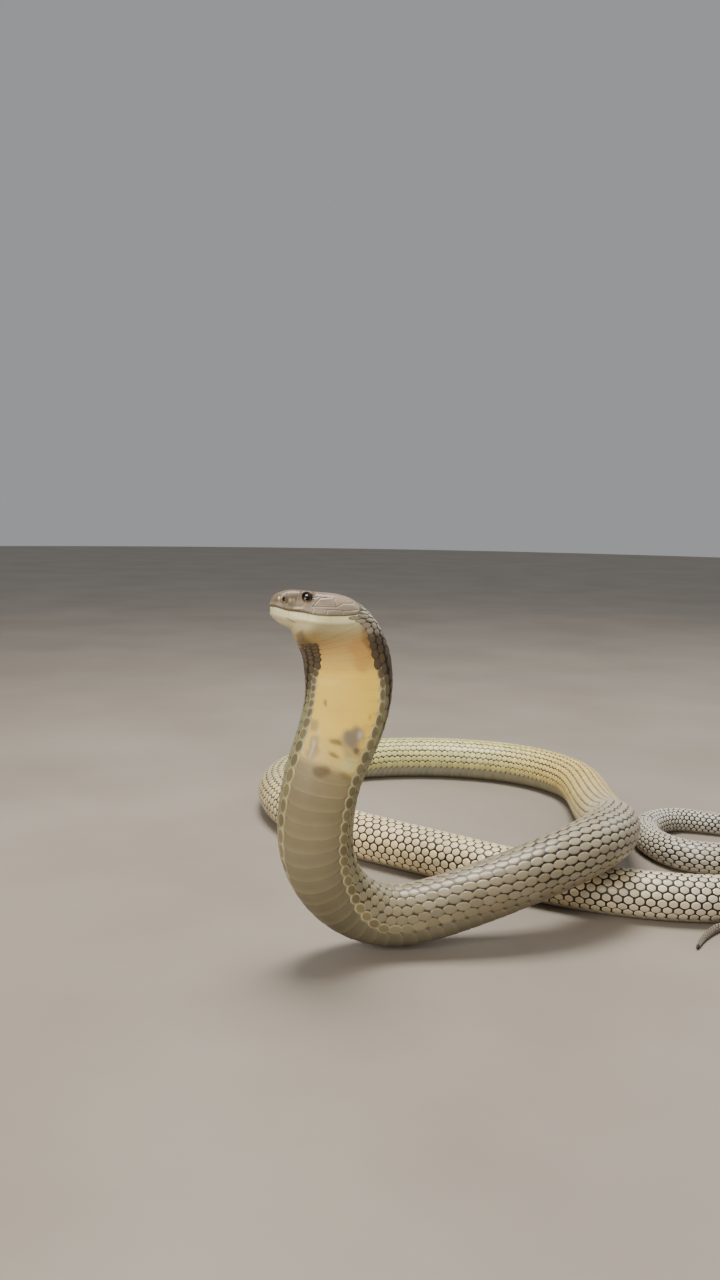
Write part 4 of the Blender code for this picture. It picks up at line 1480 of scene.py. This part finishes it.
class LayTree:
    """Geometry Nodes that put a plate on every point of the flat lay and bend it onto the skin."""

    def __init__(self, sheet: bpy.types.Object, lift: float) -> None:
        """Build the tree with its named inputs.

        Args:
            sheet: The skin sheet that the plates are laid on.
            lift: Height of a plate above the skin.
        """
        self.sheet = sheet
        self.lift = lift
        tree = bpy.data.node_groups.new("lay_plates", "GeometryNodeTree")
        self.tree = tree
        for name, kind in (
            ("Geometry", "Geometry"),
            ("Plate", "Object"),
            ("Skin sheet", "Object"),
            ("Lift", "Float"),
            ("Size variation", "Float"),
            ("Seed", "Int"),
            ("Finish", "Material"),
        ):
            tree.interface.new_socket(name, in_out="INPUT", socket_type="NodeSocket" + kind)
        tree.interface.new_socket("Geometry", in_out="OUTPUT", socket_type="NodeSocketGeometry")
        nodes = tree.nodes
        given = nodes.new("NodeGroupInput")
        result = nodes.new("NodeGroupOutput")
        plate = nodes.new("GeometryNodeObjectInfo")
        skin = nodes.new("GeometryNodeObjectInfo")
        size = self.attribute("size")
        chance = nodes.new("FunctionNodeRandomValue")
        chance.data_type = "FLOAT_VECTOR"
        less = self.calculation("ShaderNodeMath", "SUBTRACT")
        less.inputs[0].default_value = 1.0
        more = self.calculation("ShaderNodeMath", "ADD")
        more.inputs[0].default_value = 1.0
        scale = self.calculation("ShaderNodeVectorMath", "MULTIPLY")
        put = nodes.new("GeometryNodeInstanceOnPoints")
        real = nodes.new("GeometryNodeRealizeInstances")
        where = nodes.new("GeometryNodeInputPosition")
        keep = nodes.new("GeometryNodeStoreNamedAttribute")
        keep.data_type = "FLOAT_VECTOR"
        keep.inputs["Name"].default_value = "lay_at"
        lay_at = self.attribute("lay_at")
        split = nodes.new("ShaderNodeSeparateXYZ")
        wrap = self.calculation("ShaderNodeMath", "FRACT")
        flat = nodes.new("ShaderNodeCombineXYZ")
        unwrap = self.attribute("lay")
        outward = self.attribute("outward")
        skin_at = nodes.new("GeometryNodeInputPosition")
        read_place = nodes.new("GeometryNodeSampleUVSurface")
        read_place.data_type = "FLOAT_VECTOR"
        read_out = nodes.new("GeometryNodeSampleUVSurface")
        read_out.data_type = "FLOAT_VECTOR"
        height = self.calculation("ShaderNodeMath", "MULTIPLY")
        raise_by = self.calculation("ShaderNodeVectorMath", "SCALE")
        total = self.calculation("ShaderNodeVectorMath", "ADD")
        move = nodes.new("GeometryNodeSetPosition")
        dress = nodes.new("GeometryNodeSetMaterial")
        link(tree, (
            (given, "Plate", plate, "Object"),
            (given, "Skin sheet", skin, "Object"),
            (given, "Size variation", less, 1),
            (given, "Size variation", more, 1),
            (less, 0, chance, "Min"),
            (more, 0, chance, "Max"),
            (given, "Seed", chance, "Seed"),
            (size, "Attribute", scale, 0),
            (chance, "Value", scale, 1),
            (given, "Geometry", put, "Points"),
            (plate, "Geometry", put, "Instance"),
            (scale, "Vector", put, "Scale"),
            (put, "Instances", real, "Geometry"),
            (real, "Geometry", keep, "Geometry"),
            (where, "Position", keep, "Value"),
            (lay_at, "Attribute", split, "Vector"),
            (split, "Y", wrap, 0),
            (split, "X", flat, "X"),
            (wrap, 0, flat, "Y"),
            (split, "Z", height, 0),
            (given, "Lift", height, 1),
            (skin, "Geometry", read_place, "Mesh"),
            (skin, "Geometry", read_out, "Mesh"),
            (skin_at, "Position", read_place, "Value"),
            (outward, "Attribute", read_out, "Value"),
            (unwrap, "Attribute", read_place, "UV Map"),
            (unwrap, "Attribute", read_out, "UV Map"),
            (flat, "Vector", read_place, "Sample UV"),
            (flat, "Vector", read_out, "Sample UV"),
            (read_out, "Value", raise_by, 0),
            (height, 0, raise_by, "Scale"),
            (read_place, "Value", total, 0),
            (raise_by, "Vector", total, 1),
            (keep, "Geometry", move, "Geometry"),
            (total, "Vector", move, "Position"),
            (move, "Geometry", dress, "Geometry"),
            (given, "Finish", dress, "Material"),
            (dress, "Geometry", result, "Geometry"),
        ))

    def attribute(self, name: str) -> bpy.types.Node:
        """Add a node that reads a vector kept under a name.

        Args:
            name: Name of the attribute.

        Returns:
            The node.
        """
        node = self.tree.nodes.new("GeometryNodeInputNamedAttribute")
        node.data_type = "FLOAT_VECTOR"
        node.inputs["Name"].default_value = name
        return node

    def calculation(self, kind: str, operation: str) -> bpy.types.Node:
        """Add a node that calculates.

        Args:
            kind: Type of the node.
            operation: What it does.

        Returns:
            The node.
        """
        node = self.tree.nodes.new(kind)
        node.operation = operation
        return node

    def lay(
        self,
        name: str,
        points: Array,
        sizes: Array,
        seeds: Array,
        plate: bpy.types.Object,
        finish: bpy.types.Material,
        variation: float = 0.0,
    ) -> bpy.types.Object:
        """Lay plates and turn the result into a plain mesh.

        Args:
            name: Name of the piece.
            points: Distance along and share round for each plate.
            sizes: Half length, half share and, if not 1, share of the lift for each plate.
            seeds: A number from 0 to 1 for each plate.
            plate: The unit plate.
            finish: Material of the plates.
            variation: How much sizes vary, as a share.

        Returns:
            The finished piece, not yet painted.
        """
        mesh = bpy.data.meshes.new(name + "_lay")
        flat = np.column_stack([points, np.zeros(len(points))])
        mesh.from_pydata(flat.tolist(), [], [])
        if sizes.shape[1] == 2:
            sizes = np.column_stack([sizes, np.ones(len(sizes))])
        store(mesh, "size", "FLOAT_VECTOR", sizes)
        store(mesh, "root", "FLOAT_VECTOR", np.column_stack([points, seeds]))
        host = new_object(name + "_lay", mesh)
        step = host.modifiers.new("lay", "NODES")
        step.node_group = self.tree
        wanted = {
            "Plate": plate,
            "Skin sheet": self.sheet,
            "Lift": self.lift,
            "Size variation": variation,
            "Seed": SEED,
            "Finish": finish,
        }
        for item in self.tree.interface.items_tree:
            if item.item_type == "SOCKET" and item.in_out == "INPUT" and item.name in wanted:
                step[item.identifier] = wanted[item.name]
        depsgraph = bpy.context.evaluated_depsgraph_get()
        made = bpy.data.meshes.new_from_object(host.evaluated_get(depsgraph), depsgraph=depsgraph)
        bpy.data.objects.remove(host, do_unlink=True)
        made.name = name
        if not made.materials:
            made.materials.append(finish)
        return new_object(name, made)


def bake_map(mesh: bpy.types.Mesh, broad: bool) -> None:
    """Give each plate its own small patch on an unwrap of the skin, folded into rows.

    Args:
        mesh: The piece, with its lay and root attributes.
        broad: Whether a plate keeps its own breadth round the body.
    """
    root = fetch(mesh, "root", 3)
    at = fetch(mesh, "lay_at", 3)
    place = (root[:, 0] + BAKE_LEAD) / BAKE_ROW_LENGTH
    row = np.floor(place)
    off_along = np.clip((at[:, 0] - root[:, 0]) / BAKE_PLATE_LENGTH, -0.5, 0.5)
    off_round = at[:, 1] - root[:, 1]
    u = BAKE_MARGIN + (1 - 3 * BAKE_MARGIN) * (place - row) + BAKE_PATCH * off_along
    if broad:
        v = (row + np.mod(root[:, 1], 1.0) + off_round) / BAKE_ROWS
    else:
        off_round = np.clip(off_round / BAKE_PLATE_SHARE, -0.5, 0.5)
        v = (row + np.mod(root[:, 1], 1.0)) / BAKE_ROWS + BAKE_PATCH * off_round
    flat = np.clip(np.stack([u, v], axis=1), 0.0, 1.0)
    corner = np.zeros(len(mesh.loops), dtype=np.int32)
    mesh.loops.foreach_get("vertex_index", corner)
    layer = mesh.uv_layers.new(name="OFBake")
    layer.data.foreach_set("uv", flat[corner].astype(np.float32).ravel())
    mesh.uv_layers.active = layer


@dataclass(frozen=True)
class Stretch:
    """A length of coat, with rows of one count round the body.

    The cover is a plate's half length and half breadth as a share of the space for one plate. The
    lead is how far it starts before its first distance, over the end of the stretch in front.
    """

    name: str
    start: float
    end: float
    rows: int
    cover: tuple[float, float]
    pebbled: bool
    edge: Edge
    lead: float = 0.0


@dataclass
class Coat:
    """All scales and belly plates, laid out row by row."""

    sheet: Sheet
    markings: Markings
    pitch: Level = Level((
        (-0.120, 0.0052), (-0.046, 0.0050), (-0.020, 0.0062), (0.000, 0.0092), (0.060, 0.0120),
        (0.150, 0.0134), (0.720, 0.0134), (0.850, 0.0118), (1.000, 0.0105), (1.450, 0.0105),
        (1.650, 0.0112), (1.900, 0.0117), (2.500, 0.0112), (2.800, 0.0100), (3.100, 0.0086),
        (3.400, 0.0074), (3.700, 0.0062), (3.880, 0.0050),
    ))
    stretches: tuple[Stretch, ...] = (
        Stretch("scales_occiput", -0.104, -0.044, 23, (0.68, 0.500), False, Edge.DARK),
        Stretch("scales_nape", -0.044, 0.060, 21, (0.62, 0.490), False, Edge.DARK, 0.002),
        Stretch("scales_neck", 0.060, 0.340, 15, (0.610, 0.540), False, Edge.PLAIN, 0.005),
        Stretch("scales_foot", 0.340, 0.470, 15, (0.610, 0.535), False, Edge.PLAIN),
        Stretch("scales_near", 0.470, 0.740, 15, (0.565, 0.505), False, Edge.PLAIN),
        Stretch("scales_bend", 0.740, 1.180, 15, (0.560, 0.505), False, Edge.PLAIN),
        Stretch("scales_back", 1.180, 1.600, 15, (0.590, 0.505), False, Edge.PLAIN),
        Stretch("scales_left", 1.600, 1.880, 15, (0.450, 0.580), True, Edge.PLAIN),
        Stretch("scales_crossing", 1.880, 2.500, 15, (0.425, 0.565), True, Edge.PALE),
        Stretch("scales_turn", 2.500, 3.000, 15, (0.415, 0.555), True, Edge.PALE),
        Stretch("scales_tail", 3.000, 3.350, 13, (0.395, 0.540), True, Edge.PALE, 0.004),
        Stretch("scales_tail_rear", 3.350, 3.600, 11, (0.430, 0.560), True, Edge.PLAIN, 0.004),
        Stretch("scales_tail_tip", 3.600, 3.874, 9, (0.450, 0.560), True, Edge.PLAIN, 0.003),
    )
    throat_start: float = -0.042
    throat_pitch: float = 1.15
    throat_gap: float = 0.0110
    throat_end: float = 0.125
    vent: float = 3.100
    tail_end_gap: float = 0.006
    last_plate: float = 0.0086
    belly_cover: tuple[float, float] = (0.60, 1.02)
    tail_cover: tuple[float, float] = (0.60, 0.53)
    lift: float = 0.00062
    size_variation: float = 0.05
    wander: tuple[float, float] = (0.022, 0.030)
    darkest_tone: float = 0.86
    tone_spread: float = 0.26
    warmth: tuple[float, float] = (0.05, 0.10)
    hood_edge: float = 0.40
    low_shade: float = 0.16
    outer_growth: tuple[float, float] = (1.05, 1.16)
    hood_lift: float = 0.35

    def columns(self, start: float, end: float, factor: float = 1.0) -> Array:
        """Distances of the cross rows, one pitch apart.

        Args:
            start: First distance.
            end: Last distance.
            factor: Pitches in one step.

        Returns:
            The distances.
        """
        places = [start]
        while places[-1] < end:
            places.append(places[-1] + factor * float(self.pitch.at(np.array([places[-1]]))[0]))
        return np.array(places[:-1])

    def bare_of_scales(self, along: Array, share: Array) -> Array:
        """Find where the head's own shields take the place of scales.

        Args:
            along: Distances along the body.
            share: Shares of the way round.

        Returns:
            True for each place without a scale.
        """
        local = self.sheet.local(along, share)
        back, up = local[:, 0], local[:, 2]
        over = up - mouth_height(back)
        on_nape = along < -0.004
        shields = (over > -0.001) & (back < 0.0062)
        jaw = (over <= -0.001) & (over > -0.0125) & (back < -0.006)
        chin = back < -0.052
        return on_nape & (shields | jaw | chin)

    def lay_rows(
        self, stretch: Stretch, columns: Array, rng: np.random.Generator
    ) -> tuple[Array, Array, Array]:
        """Places, sizes and seeds of the scales of one stretch.

        Args:
            stretch: The stretch.
            columns: Distances of the cross rows of the whole body.
            rng: Seeded source of small irregularities.

        Returns:
            Points, half sizes and seeds.
        """
        columns = columns[(columns > stretch.start - 0.02) & (columns < stretch.end)]
        pitch = self.pitch.at(columns)
        edge = self.markings.edge_of_belly.at(columns)
        points, sizes = [], []
        for row in range(stretch.rows):
            middle = (row + 0.5) / stretch.rows
            outer = row in (0, stretch.rows - 1)
            shift = 0.5 if (row % 2) else 0.0
            along = columns + shift * pitch
            share = (middle - 0.5) * (1 - 2 * edge)
            longer, wider = self.outer_growth if outer else (1.0, 1.0)
            half_share = (1 - 2 * edge) / stretch.rows * stretch.cover[1] * wider
            half_length = pitch * stretch.cover[0] * longer
            lift = 1.0 + self.hood_lift * (1 - ease(-0.040, -0.020, along))
            points.append(np.stack([along, share], axis=1))
            sizes.append(np.stack([half_length, half_share, lift], axis=1))
        flat = np.concatenate(points)
        size = np.concatenate(sizes)
        keep = (flat[:, 0] >= stretch.start - stretch.lead) & (flat[:, 0] < stretch.end)
        flat[:, 0] += rng.normal(0.0, self.wander[0], len(flat)) * size[:, 0]
        flat[:, 1] += rng.normal(0.0, self.wander[1], len(flat)) * size[:, 1]
        keep &= ~self.bare_of_scales(flat[:, 0], flat[:, 1])
        flat[:, 1] += self.markings.roll.at(flat[:, 0])
        return flat[keep], size[keep], rng.random(int(keep.sum()))

    def paint_scales(self, obj: bpy.types.Object, stretch: Stretch) -> None:
        """Colour the scales of one stretch by place, border and their own tone.

        Args:
            obj: The piece.
            stretch: Its stretch.
        """
        mesh = obj.data
        root = fetch(mesh, "root", 3)
        border = fetch(mesh, "border", 1)[:, 0]
        along, seed = root[:, 0], root[:, 2]
        share = root[:, 1] - self.markings.roll.at(along)
        height = positions(mesh)[:, 2] - HEAD_PIVOT[2]
        pale = ease(-0.0225, -0.0135, height) * (1 - ease(-0.010, 0.0, along))
        colour = mix(self.markings.back.at(along), linear(self.markings.pale_nape_paint), pale)
        other = np.mod(seed * 7.31, 1.0)
        tone = self.darkest_tone + self.tone_spread * seed
        red, blue = 1.0 + self.warmth[0] * (other - 0.5), 1.0 - self.warmth[1] * (other - 0.5)
        colour = colour * tone[:, None] * np.stack([red, np.ones(len(other)), blue], axis=1)
        beside = self.markings.beside_belly(along, share)
        lateral = linear(self.markings.lateral_paint) * (0.75 + 0.5 * seed)[:, None]
        colour = mix(colour, lateral, 0.85 * beside)
        # Painted shade: from about 1.1 along, the rows next to the belly, low by the floor, are darker.
        low = (1 - ease(0.02, 0.11, self.markings.from_belly(along, share))) * ease(1.1, 1.25, along)
        colour = colour * (1 - self.low_shade * low)[:, None]
        rim = ease(0.35, 0.95, border) * (1 - beside) + ease(0.52, 0.92, border) * beside
        hooded = 1 - ease(-0.020, 0.010, along)
        edged = colour * (stretch.edge.value * (1 - hooded) + self.hood_edge * hooded)[:, None]
        edged = mix(edged, linear(self.markings.lateral_rim_paint), beside)
        colour = mix(colour, edged, rim)
        sunk = ease(0.97, 1.0, border)
        colour = mix(colour, self.markings.bare_colour(along, share), 0.8 * sunk)
        store(mesh, "tint", "FLOAT_COLOR", colour)

    def paint_plates(self, obj: bpy.types.Object) -> None:
        """Colour the belly plates, paler along the free edge.

        Args:
            obj: The piece.
        """
        mesh = obj.data
        root = fetch(mesh, "root", 3)
        at = fetch(mesh, "lay_at", 3)
        border = fetch(mesh, "border", 1)[:, 0]
        share = at[:, 1] - self.markings.roll.at(at[:, 0])
        height = positions(mesh)[:, 2] - HEAD_PIVOT[2]
        colour = self.markings.plate_colour(at[:, 0], share, height, root[:, 2])
        throat = 1 - ease(0.085, 0.105, at[:, 0])
        raised = 1 - ease(0.24, 0.36, at[:, 0])
        strength = 0.04 * throat + 0.34 * (1 - throat) * raised + 0.20 * (1 - raised)
        colour = mix(colour, linear(self.markings.free_edge_paint), ease(0.3, 1.0, border) * strength)
        store(mesh, "tint", "FLOAT_COLOR", colour)

    def rest_on_floor(self, obj: bpy.types.Object) -> None:
        """Keep every vertex of a piece at or above the floor.

        Args:
            obj: The piece.
        """
        mesh = obj.data
        places = positions(mesh)
        places[:, 2] = np.maximum(places[:, 2], FLOOR_GAP)
        mesh.vertices.foreach_set("co", places.astype(np.float32).ravel())
        mesh.update()

    def make(self, finish: bpy.types.Material, belly_finish: bpy.types.Material) -> list[bpy.types.Object]:
        """Lay and paint every stretch.

        Args:
            finish: Material of the scales.
            belly_finish: Material of the belly plates.

        Returns:
            The pieces of the coat.
        """
        rng = np.random.default_rng(SEED)
        sheet = self.sheet.make()
        tree = LayTree(sheet, self.lift)
        lozenge = LOZENGE_PLATE.make()
        pebble = PEBBLE_PLATE.make()
        broad = BroadPlate("broad_plate").make()
        wide = WIDE_PLATE.make()
        pieces = []
        columns = self.columns(self.stretches[0].start, self.stretches[-1].end)
        for stretch in self.stretches:
            points, sizes, seeds = self.lay_rows(stretch, columns, rng)
            plate = pebble if stretch.pebbled else lozenge
            piece = tree.lay(stretch.name, points, sizes, seeds, plate, finish, self.size_variation)
            self.paint_scales(piece, stretch)
            bake_map(piece.data, False)
            pieces.append(piece)
        throat = self.columns(self.throat_start, 0.0, self.throat_pitch)
        front = np.concatenate([throat, self.columns(float(throat[-1]) + self.throat_gap, self.vent)])
        ahead = np.append(np.diff(front), self.last_plate)
        edge = self.markings.edge_of_belly.at(front)
        points = np.stack([front, 0.5 + self.markings.roll.at(front)], axis=1)
        raised = 0.30 + 0.50 * ease(0.08, 0.12, front)
        sizes = np.stack([self.belly_cover[0] * ahead, edge * self.belly_cover[1], raised], axis=1)
        seeds = rng.random(len(points))
        for name, plate, chosen in (
            ("throat_plates", wide, front < self.throat_end),
            ("belly_plates", broad, front >= self.throat_end),
        ):
            belly = tree.lay(name, points[chosen], sizes[chosen], seeds[chosen], plate, belly_finish)
            self.paint_plates(belly)
            bake_map(belly.data, True)
            pieces.append(belly)
        rear = self.columns(self.vent, self.sheet.body.length - self.tail_end_gap)
        half = self.pitch.at(rear) * self.tail_cover[0]
        edge = self.markings.edge_of_belly.at(rear)
        pairs, pair_sizes = [], []
        for side in (-1.0, 1.0):
            shift = 0.25 * half if side > 0 else 0.0
            pairs.append(np.stack([rear + shift, 0.5 + side * edge * 0.5], axis=1))
            pair_sizes.append(np.stack([half, edge * self.tail_cover[1]], axis=1))
        points, sizes = np.concatenate(pairs), np.concatenate(pair_sizes)
        tail = tree.lay("tail_plates", points, sizes, rng.random(len(points)), lozenge, belly_finish)
        self.paint_plates(tail)
        bake_map(tail.data, False)
        pieces.append(tail)
        for piece in pieces:
            self.rest_on_floor(piece)
            piece.data.shade_smooth()
        for helper in (sheet, lozenge, pebble, broad, wide):
            bpy.data.objects.remove(helper, do_unlink=True)
        return pieces


@dataclass
class Eye:
    """One eye: a glossy ball with a dark round pupil and a bronze iris."""

    name: str
    side: float
    head: HeadForm
    radius: float = EYE_RADIUS
    pupil: float = 0.0025
    iris: float = 0.0038
    look_up: float = math.radians(14.0)
    rings: int = 28
    around: int = 40
    dark_iris: Paint = (44, 31, 20)
    bronze_iris: Paint = (132, 98, 58)
    pupil_paint: Paint = (10, 7, 6)
    outside_paint: Paint = (26, 18, 14)

    def make(self, finish: bpy.types.Material) -> bpy.types.Object:
        """Build the ball, its poles on the line of sight.

        Args:
            finish: Its material.

        Returns:
            The eye.
        """
        rings, around = self.rings, self.around
        polar = np.linspace(0.0, math.pi, rings + 1)[1:-1]
        angle = np.linspace(0.0, 2 * math.pi, around, endpoint=False)
        out = np.cos(polar)[:, None] * np.ones(around)
        back = np.sin(polar)[:, None] * np.cos(angle)
        up = np.sin(polar)[:, None] * np.sin(angle)
        ball = np.stack([back, out, up], axis=-1).reshape(-1, 3)
        ball = np.concatenate([ball, [(0, 1, 0), (0, -1, 0)]])
        lean = math.sin(self.look_up), math.cos(self.look_up)
        turned = np.stack([
            ball[:, 0],
            self.side * (ball[:, 1] * lean[1] - ball[:, 2] * lean[0]),
            ball[:, 1] * lean[0] + ball[:, 2] * lean[1],
        ], axis=1)
        centre = np.array([EYE_PLACE[0], self.side * EYE_LATERAL, EYE_PLACE[1]])
        places = self.head.place(0.0, centre + turned * self.radius)
        faces: list[tuple[int, ...]] = []
        for row in range(rings - 2):
            low = row * around
            faces.extend((low + k, low + around + k, low + around + (k + 1) % around, low + (k + 1) % around)
                         for k in range(around))
        first, last = len(ball) - 2, len(ball) - 1
        faces.extend((first, k, (k + 1) % around) for k in range(around))
        low = (rings - 2) * around
        faces.extend((last, low + (k + 1) % around, low + k) for k in range(around))
        mesh = bpy.data.meshes.new(self.name)
        mesh.from_pydata(places.tolist(), [], faces)
        off = np.hypot(ball[:, 0], ball[:, 2]) * self.radius
        turn = np.arctan2(ball[:, 2], ball[:, 0])
        streak = 0.85 + 0.3 * np.abs(np.sin(turn * 9.0 + 1.3 * np.sin(turn * 5.0)))
        iris = np.tile(linear(self.dark_iris), (len(ball), 1))
        iris = mix(iris, linear(self.bronze_iris), ease(0.3, -0.5, ball[:, 2])) * streak[:, None]
        in_pupil = 1 - ease(self.pupil - 0.0002, self.pupil + 0.0002, off)
        outside = ease(self.iris - 0.0003, self.iris + 0.0004, off)
        colour = mix(iris, linear(self.pupil_paint), in_pupil)
        colour = mix(colour, linear(self.outside_paint), outside)
        store(mesh, "tint", "FLOAT_COLOR", colour)
        if self.side > 0:
            mesh.flip_normals()
        mesh.shade_smooth()
        mesh.materials.append(finish)
        return new_object(self.name, mesh)


@dataclass(frozen=True)
class Lamp:
    """One soft studio light."""

    name: str
    place: tuple[float, float, float]
    aim: tuple[float, float, float]
    size: float
    power: float
    tint: tuple[float, float, float] = (1.0, 0.98, 0.95)

    def make(self) -> None:
        """Hang the light and turn it to its aim."""
        data = bpy.data.lights.new(self.name, "AREA")
        data.size = self.size
        data.energy = self.power
        data.color = self.tint
        away = unit(np.array(self.place) - np.array(self.aim))
        right = unit(np.cross(np.array([0.0, 1.0, 0.001]), away))
        stand = np.column_stack([right, np.cross(away, right), away, self.place])
        new_object(self.name, data).matrix_world = Matrix([*stand.tolist(), [0, 0, 0, 1]])


LAMPS = (
    Lamp("overhead", (-0.3, 0.1, 2.2), (0.0, 0.0, 0.0), 0.9, 78.0),
    Lamp("front_left", (-1.3, -2.2, 1.3), (-0.2, -0.3, 0.25), 1.0, 46.0, (1.0, 0.96, 0.90)),
    Lamp("right_back", (1.8, 1.4, 1.6), (0.0, 0.0, 0.0), 1.2, 18.0, (0.96, 0.98, 1.0)),
)


@dataclass
class Studio:
    """Floor, light and camera."""

    floor_radius: float = 9.0
    floor_sides: int = 96
    floor_paints: tuple[Paint, ...] = ((136, 126, 113), (150, 140, 127))
    floor_stops: tuple[float, ...] = (0.3, 0.7)
    floor_roughness: float = 0.5
    sky_colour: tuple[float, float, float, float] = (0.92, 0.93, 0.95, 1.0)
    sky_strength: float = 0.36
    camera_place: tuple[float, float, float] = (-0.2830, -1.4224, 0.47)
    lens: float = 30.0
    sensor_width: float = 36.0
    nearest: float = 0.02
    tilt_down: float = math.radians(7.48)
    roll: float = math.radians(1.0)

    def floor_finish(self) -> bpy.types.Material:
        """Mix the pale, faintly clouded floor paint.

        Returns:
            The material.
        """
        made = bpy.data.materials.new("pale_floor")
        made.use_nodes = True
        tree = made.node_tree
        shader = tree.nodes["Principled BSDF"]
        where = tree.nodes.new("ShaderNodeTexCoord")
        cloud = tree.nodes.new("ShaderNodeTexNoise")
        cloud.inputs["Scale"].default_value = 3.0
        cloud.inputs["Detail"].default_value = 8.0
        ramp = tree.nodes.new("ShaderNodeValToRGB")
        for stop, place, paint in zip(ramp.color_ramp.elements, self.floor_stops, self.floor_paints):
            stop.position = place
            stop.color = (*linear(paint), 1)
        link(tree, (
            (where, "Object", cloud, "Vector"),
            (cloud, "Fac", ramp, "Fac"),
            (ramp, "Color", shader, "Base Color"),
        ))
        shader.inputs["Roughness"].default_value = self.floor_roughness
        return made

    def make(self) -> None:
        """Build floor, lamps, sky and camera."""
        angle = np.linspace(0.0, 2 * math.pi, self.floor_sides, endpoint=False)
        rim = np.stack([np.cos(angle), np.sin(angle), np.zeros(self.floor_sides)], axis=1)
        mesh = bpy.data.meshes.new("studio_floor")
        mesh.from_pydata((rim * self.floor_radius).tolist(), [], [tuple(range(self.floor_sides))])
        mesh.materials.append(self.floor_finish())
        new_object("studio_floor", mesh)
        for lamp in LAMPS:
            lamp.make()
        world = bpy.data.worlds.new("studio_air")
        world.use_nodes = True
        sky = world.node_tree.nodes["Background"]
        sky.inputs["Color"].default_value = self.sky_colour
        sky.inputs["Strength"].default_value = self.sky_strength
        bpy.context.scene.world = world
        data = bpy.data.cameras.new("photo_view")
        data.lens = self.lens
        data.sensor_width = self.sensor_width
        data.sensor_fit = "AUTO"
        data.clip_start = self.nearest
        data.dof.use_dof = False
        camera = new_object("photo_view", data)
        ahead = np.array([0.0, math.cos(self.tilt_down), -math.sin(self.tilt_down)])
        level = np.array([1.0, 0.0, 0.0])
        over = np.cross(level, ahead)
        right = level * math.cos(self.roll) + over * math.sin(self.roll)
        up = over * math.cos(self.roll) - level * math.sin(self.roll)
        turn = np.column_stack([right, up, -ahead, self.camera_place])
        camera.matrix_world = Matrix([*turn.tolist(), [0, 0, 0, 1]])
        bpy.context.scene.camera = camera


@dataclass
class KingCobra:
    """The whole animal, piece by piece."""

    body: BodyForm = field(default_factory=BodyForm)
    head: HeadForm = field(default_factory=HeadForm)
    markings: Markings = field(default_factory=Markings)

    def flesh_nodes(self) -> Iterable[str]:
        """Names of the solids that the skin stands for."""
        return [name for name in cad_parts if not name.startswith("eye_")]

    def build(self) -> None:
        """Build skin, coat and eyes, hang them on the root body and hide the solids they stand for."""
        sheet = Sheet(self.body, self.head)
        skin_finish = SKIN_FINISH.make()
        scale_finish = SCALE_FINISH.make()
        belly_finish = BELLY_FINISH.make()
        eye_finish = EYE_FINISH.make()
        skin = Skin(sheet, self.markings).make(skin_finish)
        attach(skin, "root")
        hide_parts(*self.flesh_nodes())
        LOG.info("skin: %d faces", len(skin.data.polygons))
        for piece in Coat(sheet, self.markings).make(scale_finish, belly_finish):
            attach(piece, "root")
            LOG.info("%s: %d faces", piece.name, len(piece.data.polygons))
        for label, side in (("left", 1.0), ("right", -1.0)):
            ball = Eye(f"eyeball_{label}", side, self.head).make(eye_finish)
            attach(ball, "root")
            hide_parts(f"eye_{label}")
            LOG.info("%s: %d faces", ball.name, len(ball.data.polygons))


def main() -> None:
    """Build the animal and the studio."""
    logging.basicConfig(level=logging.INFO, format="%(message)s")
    KingCobra().build()
    Studio().make()


if __name__ == "__main__":
    main()
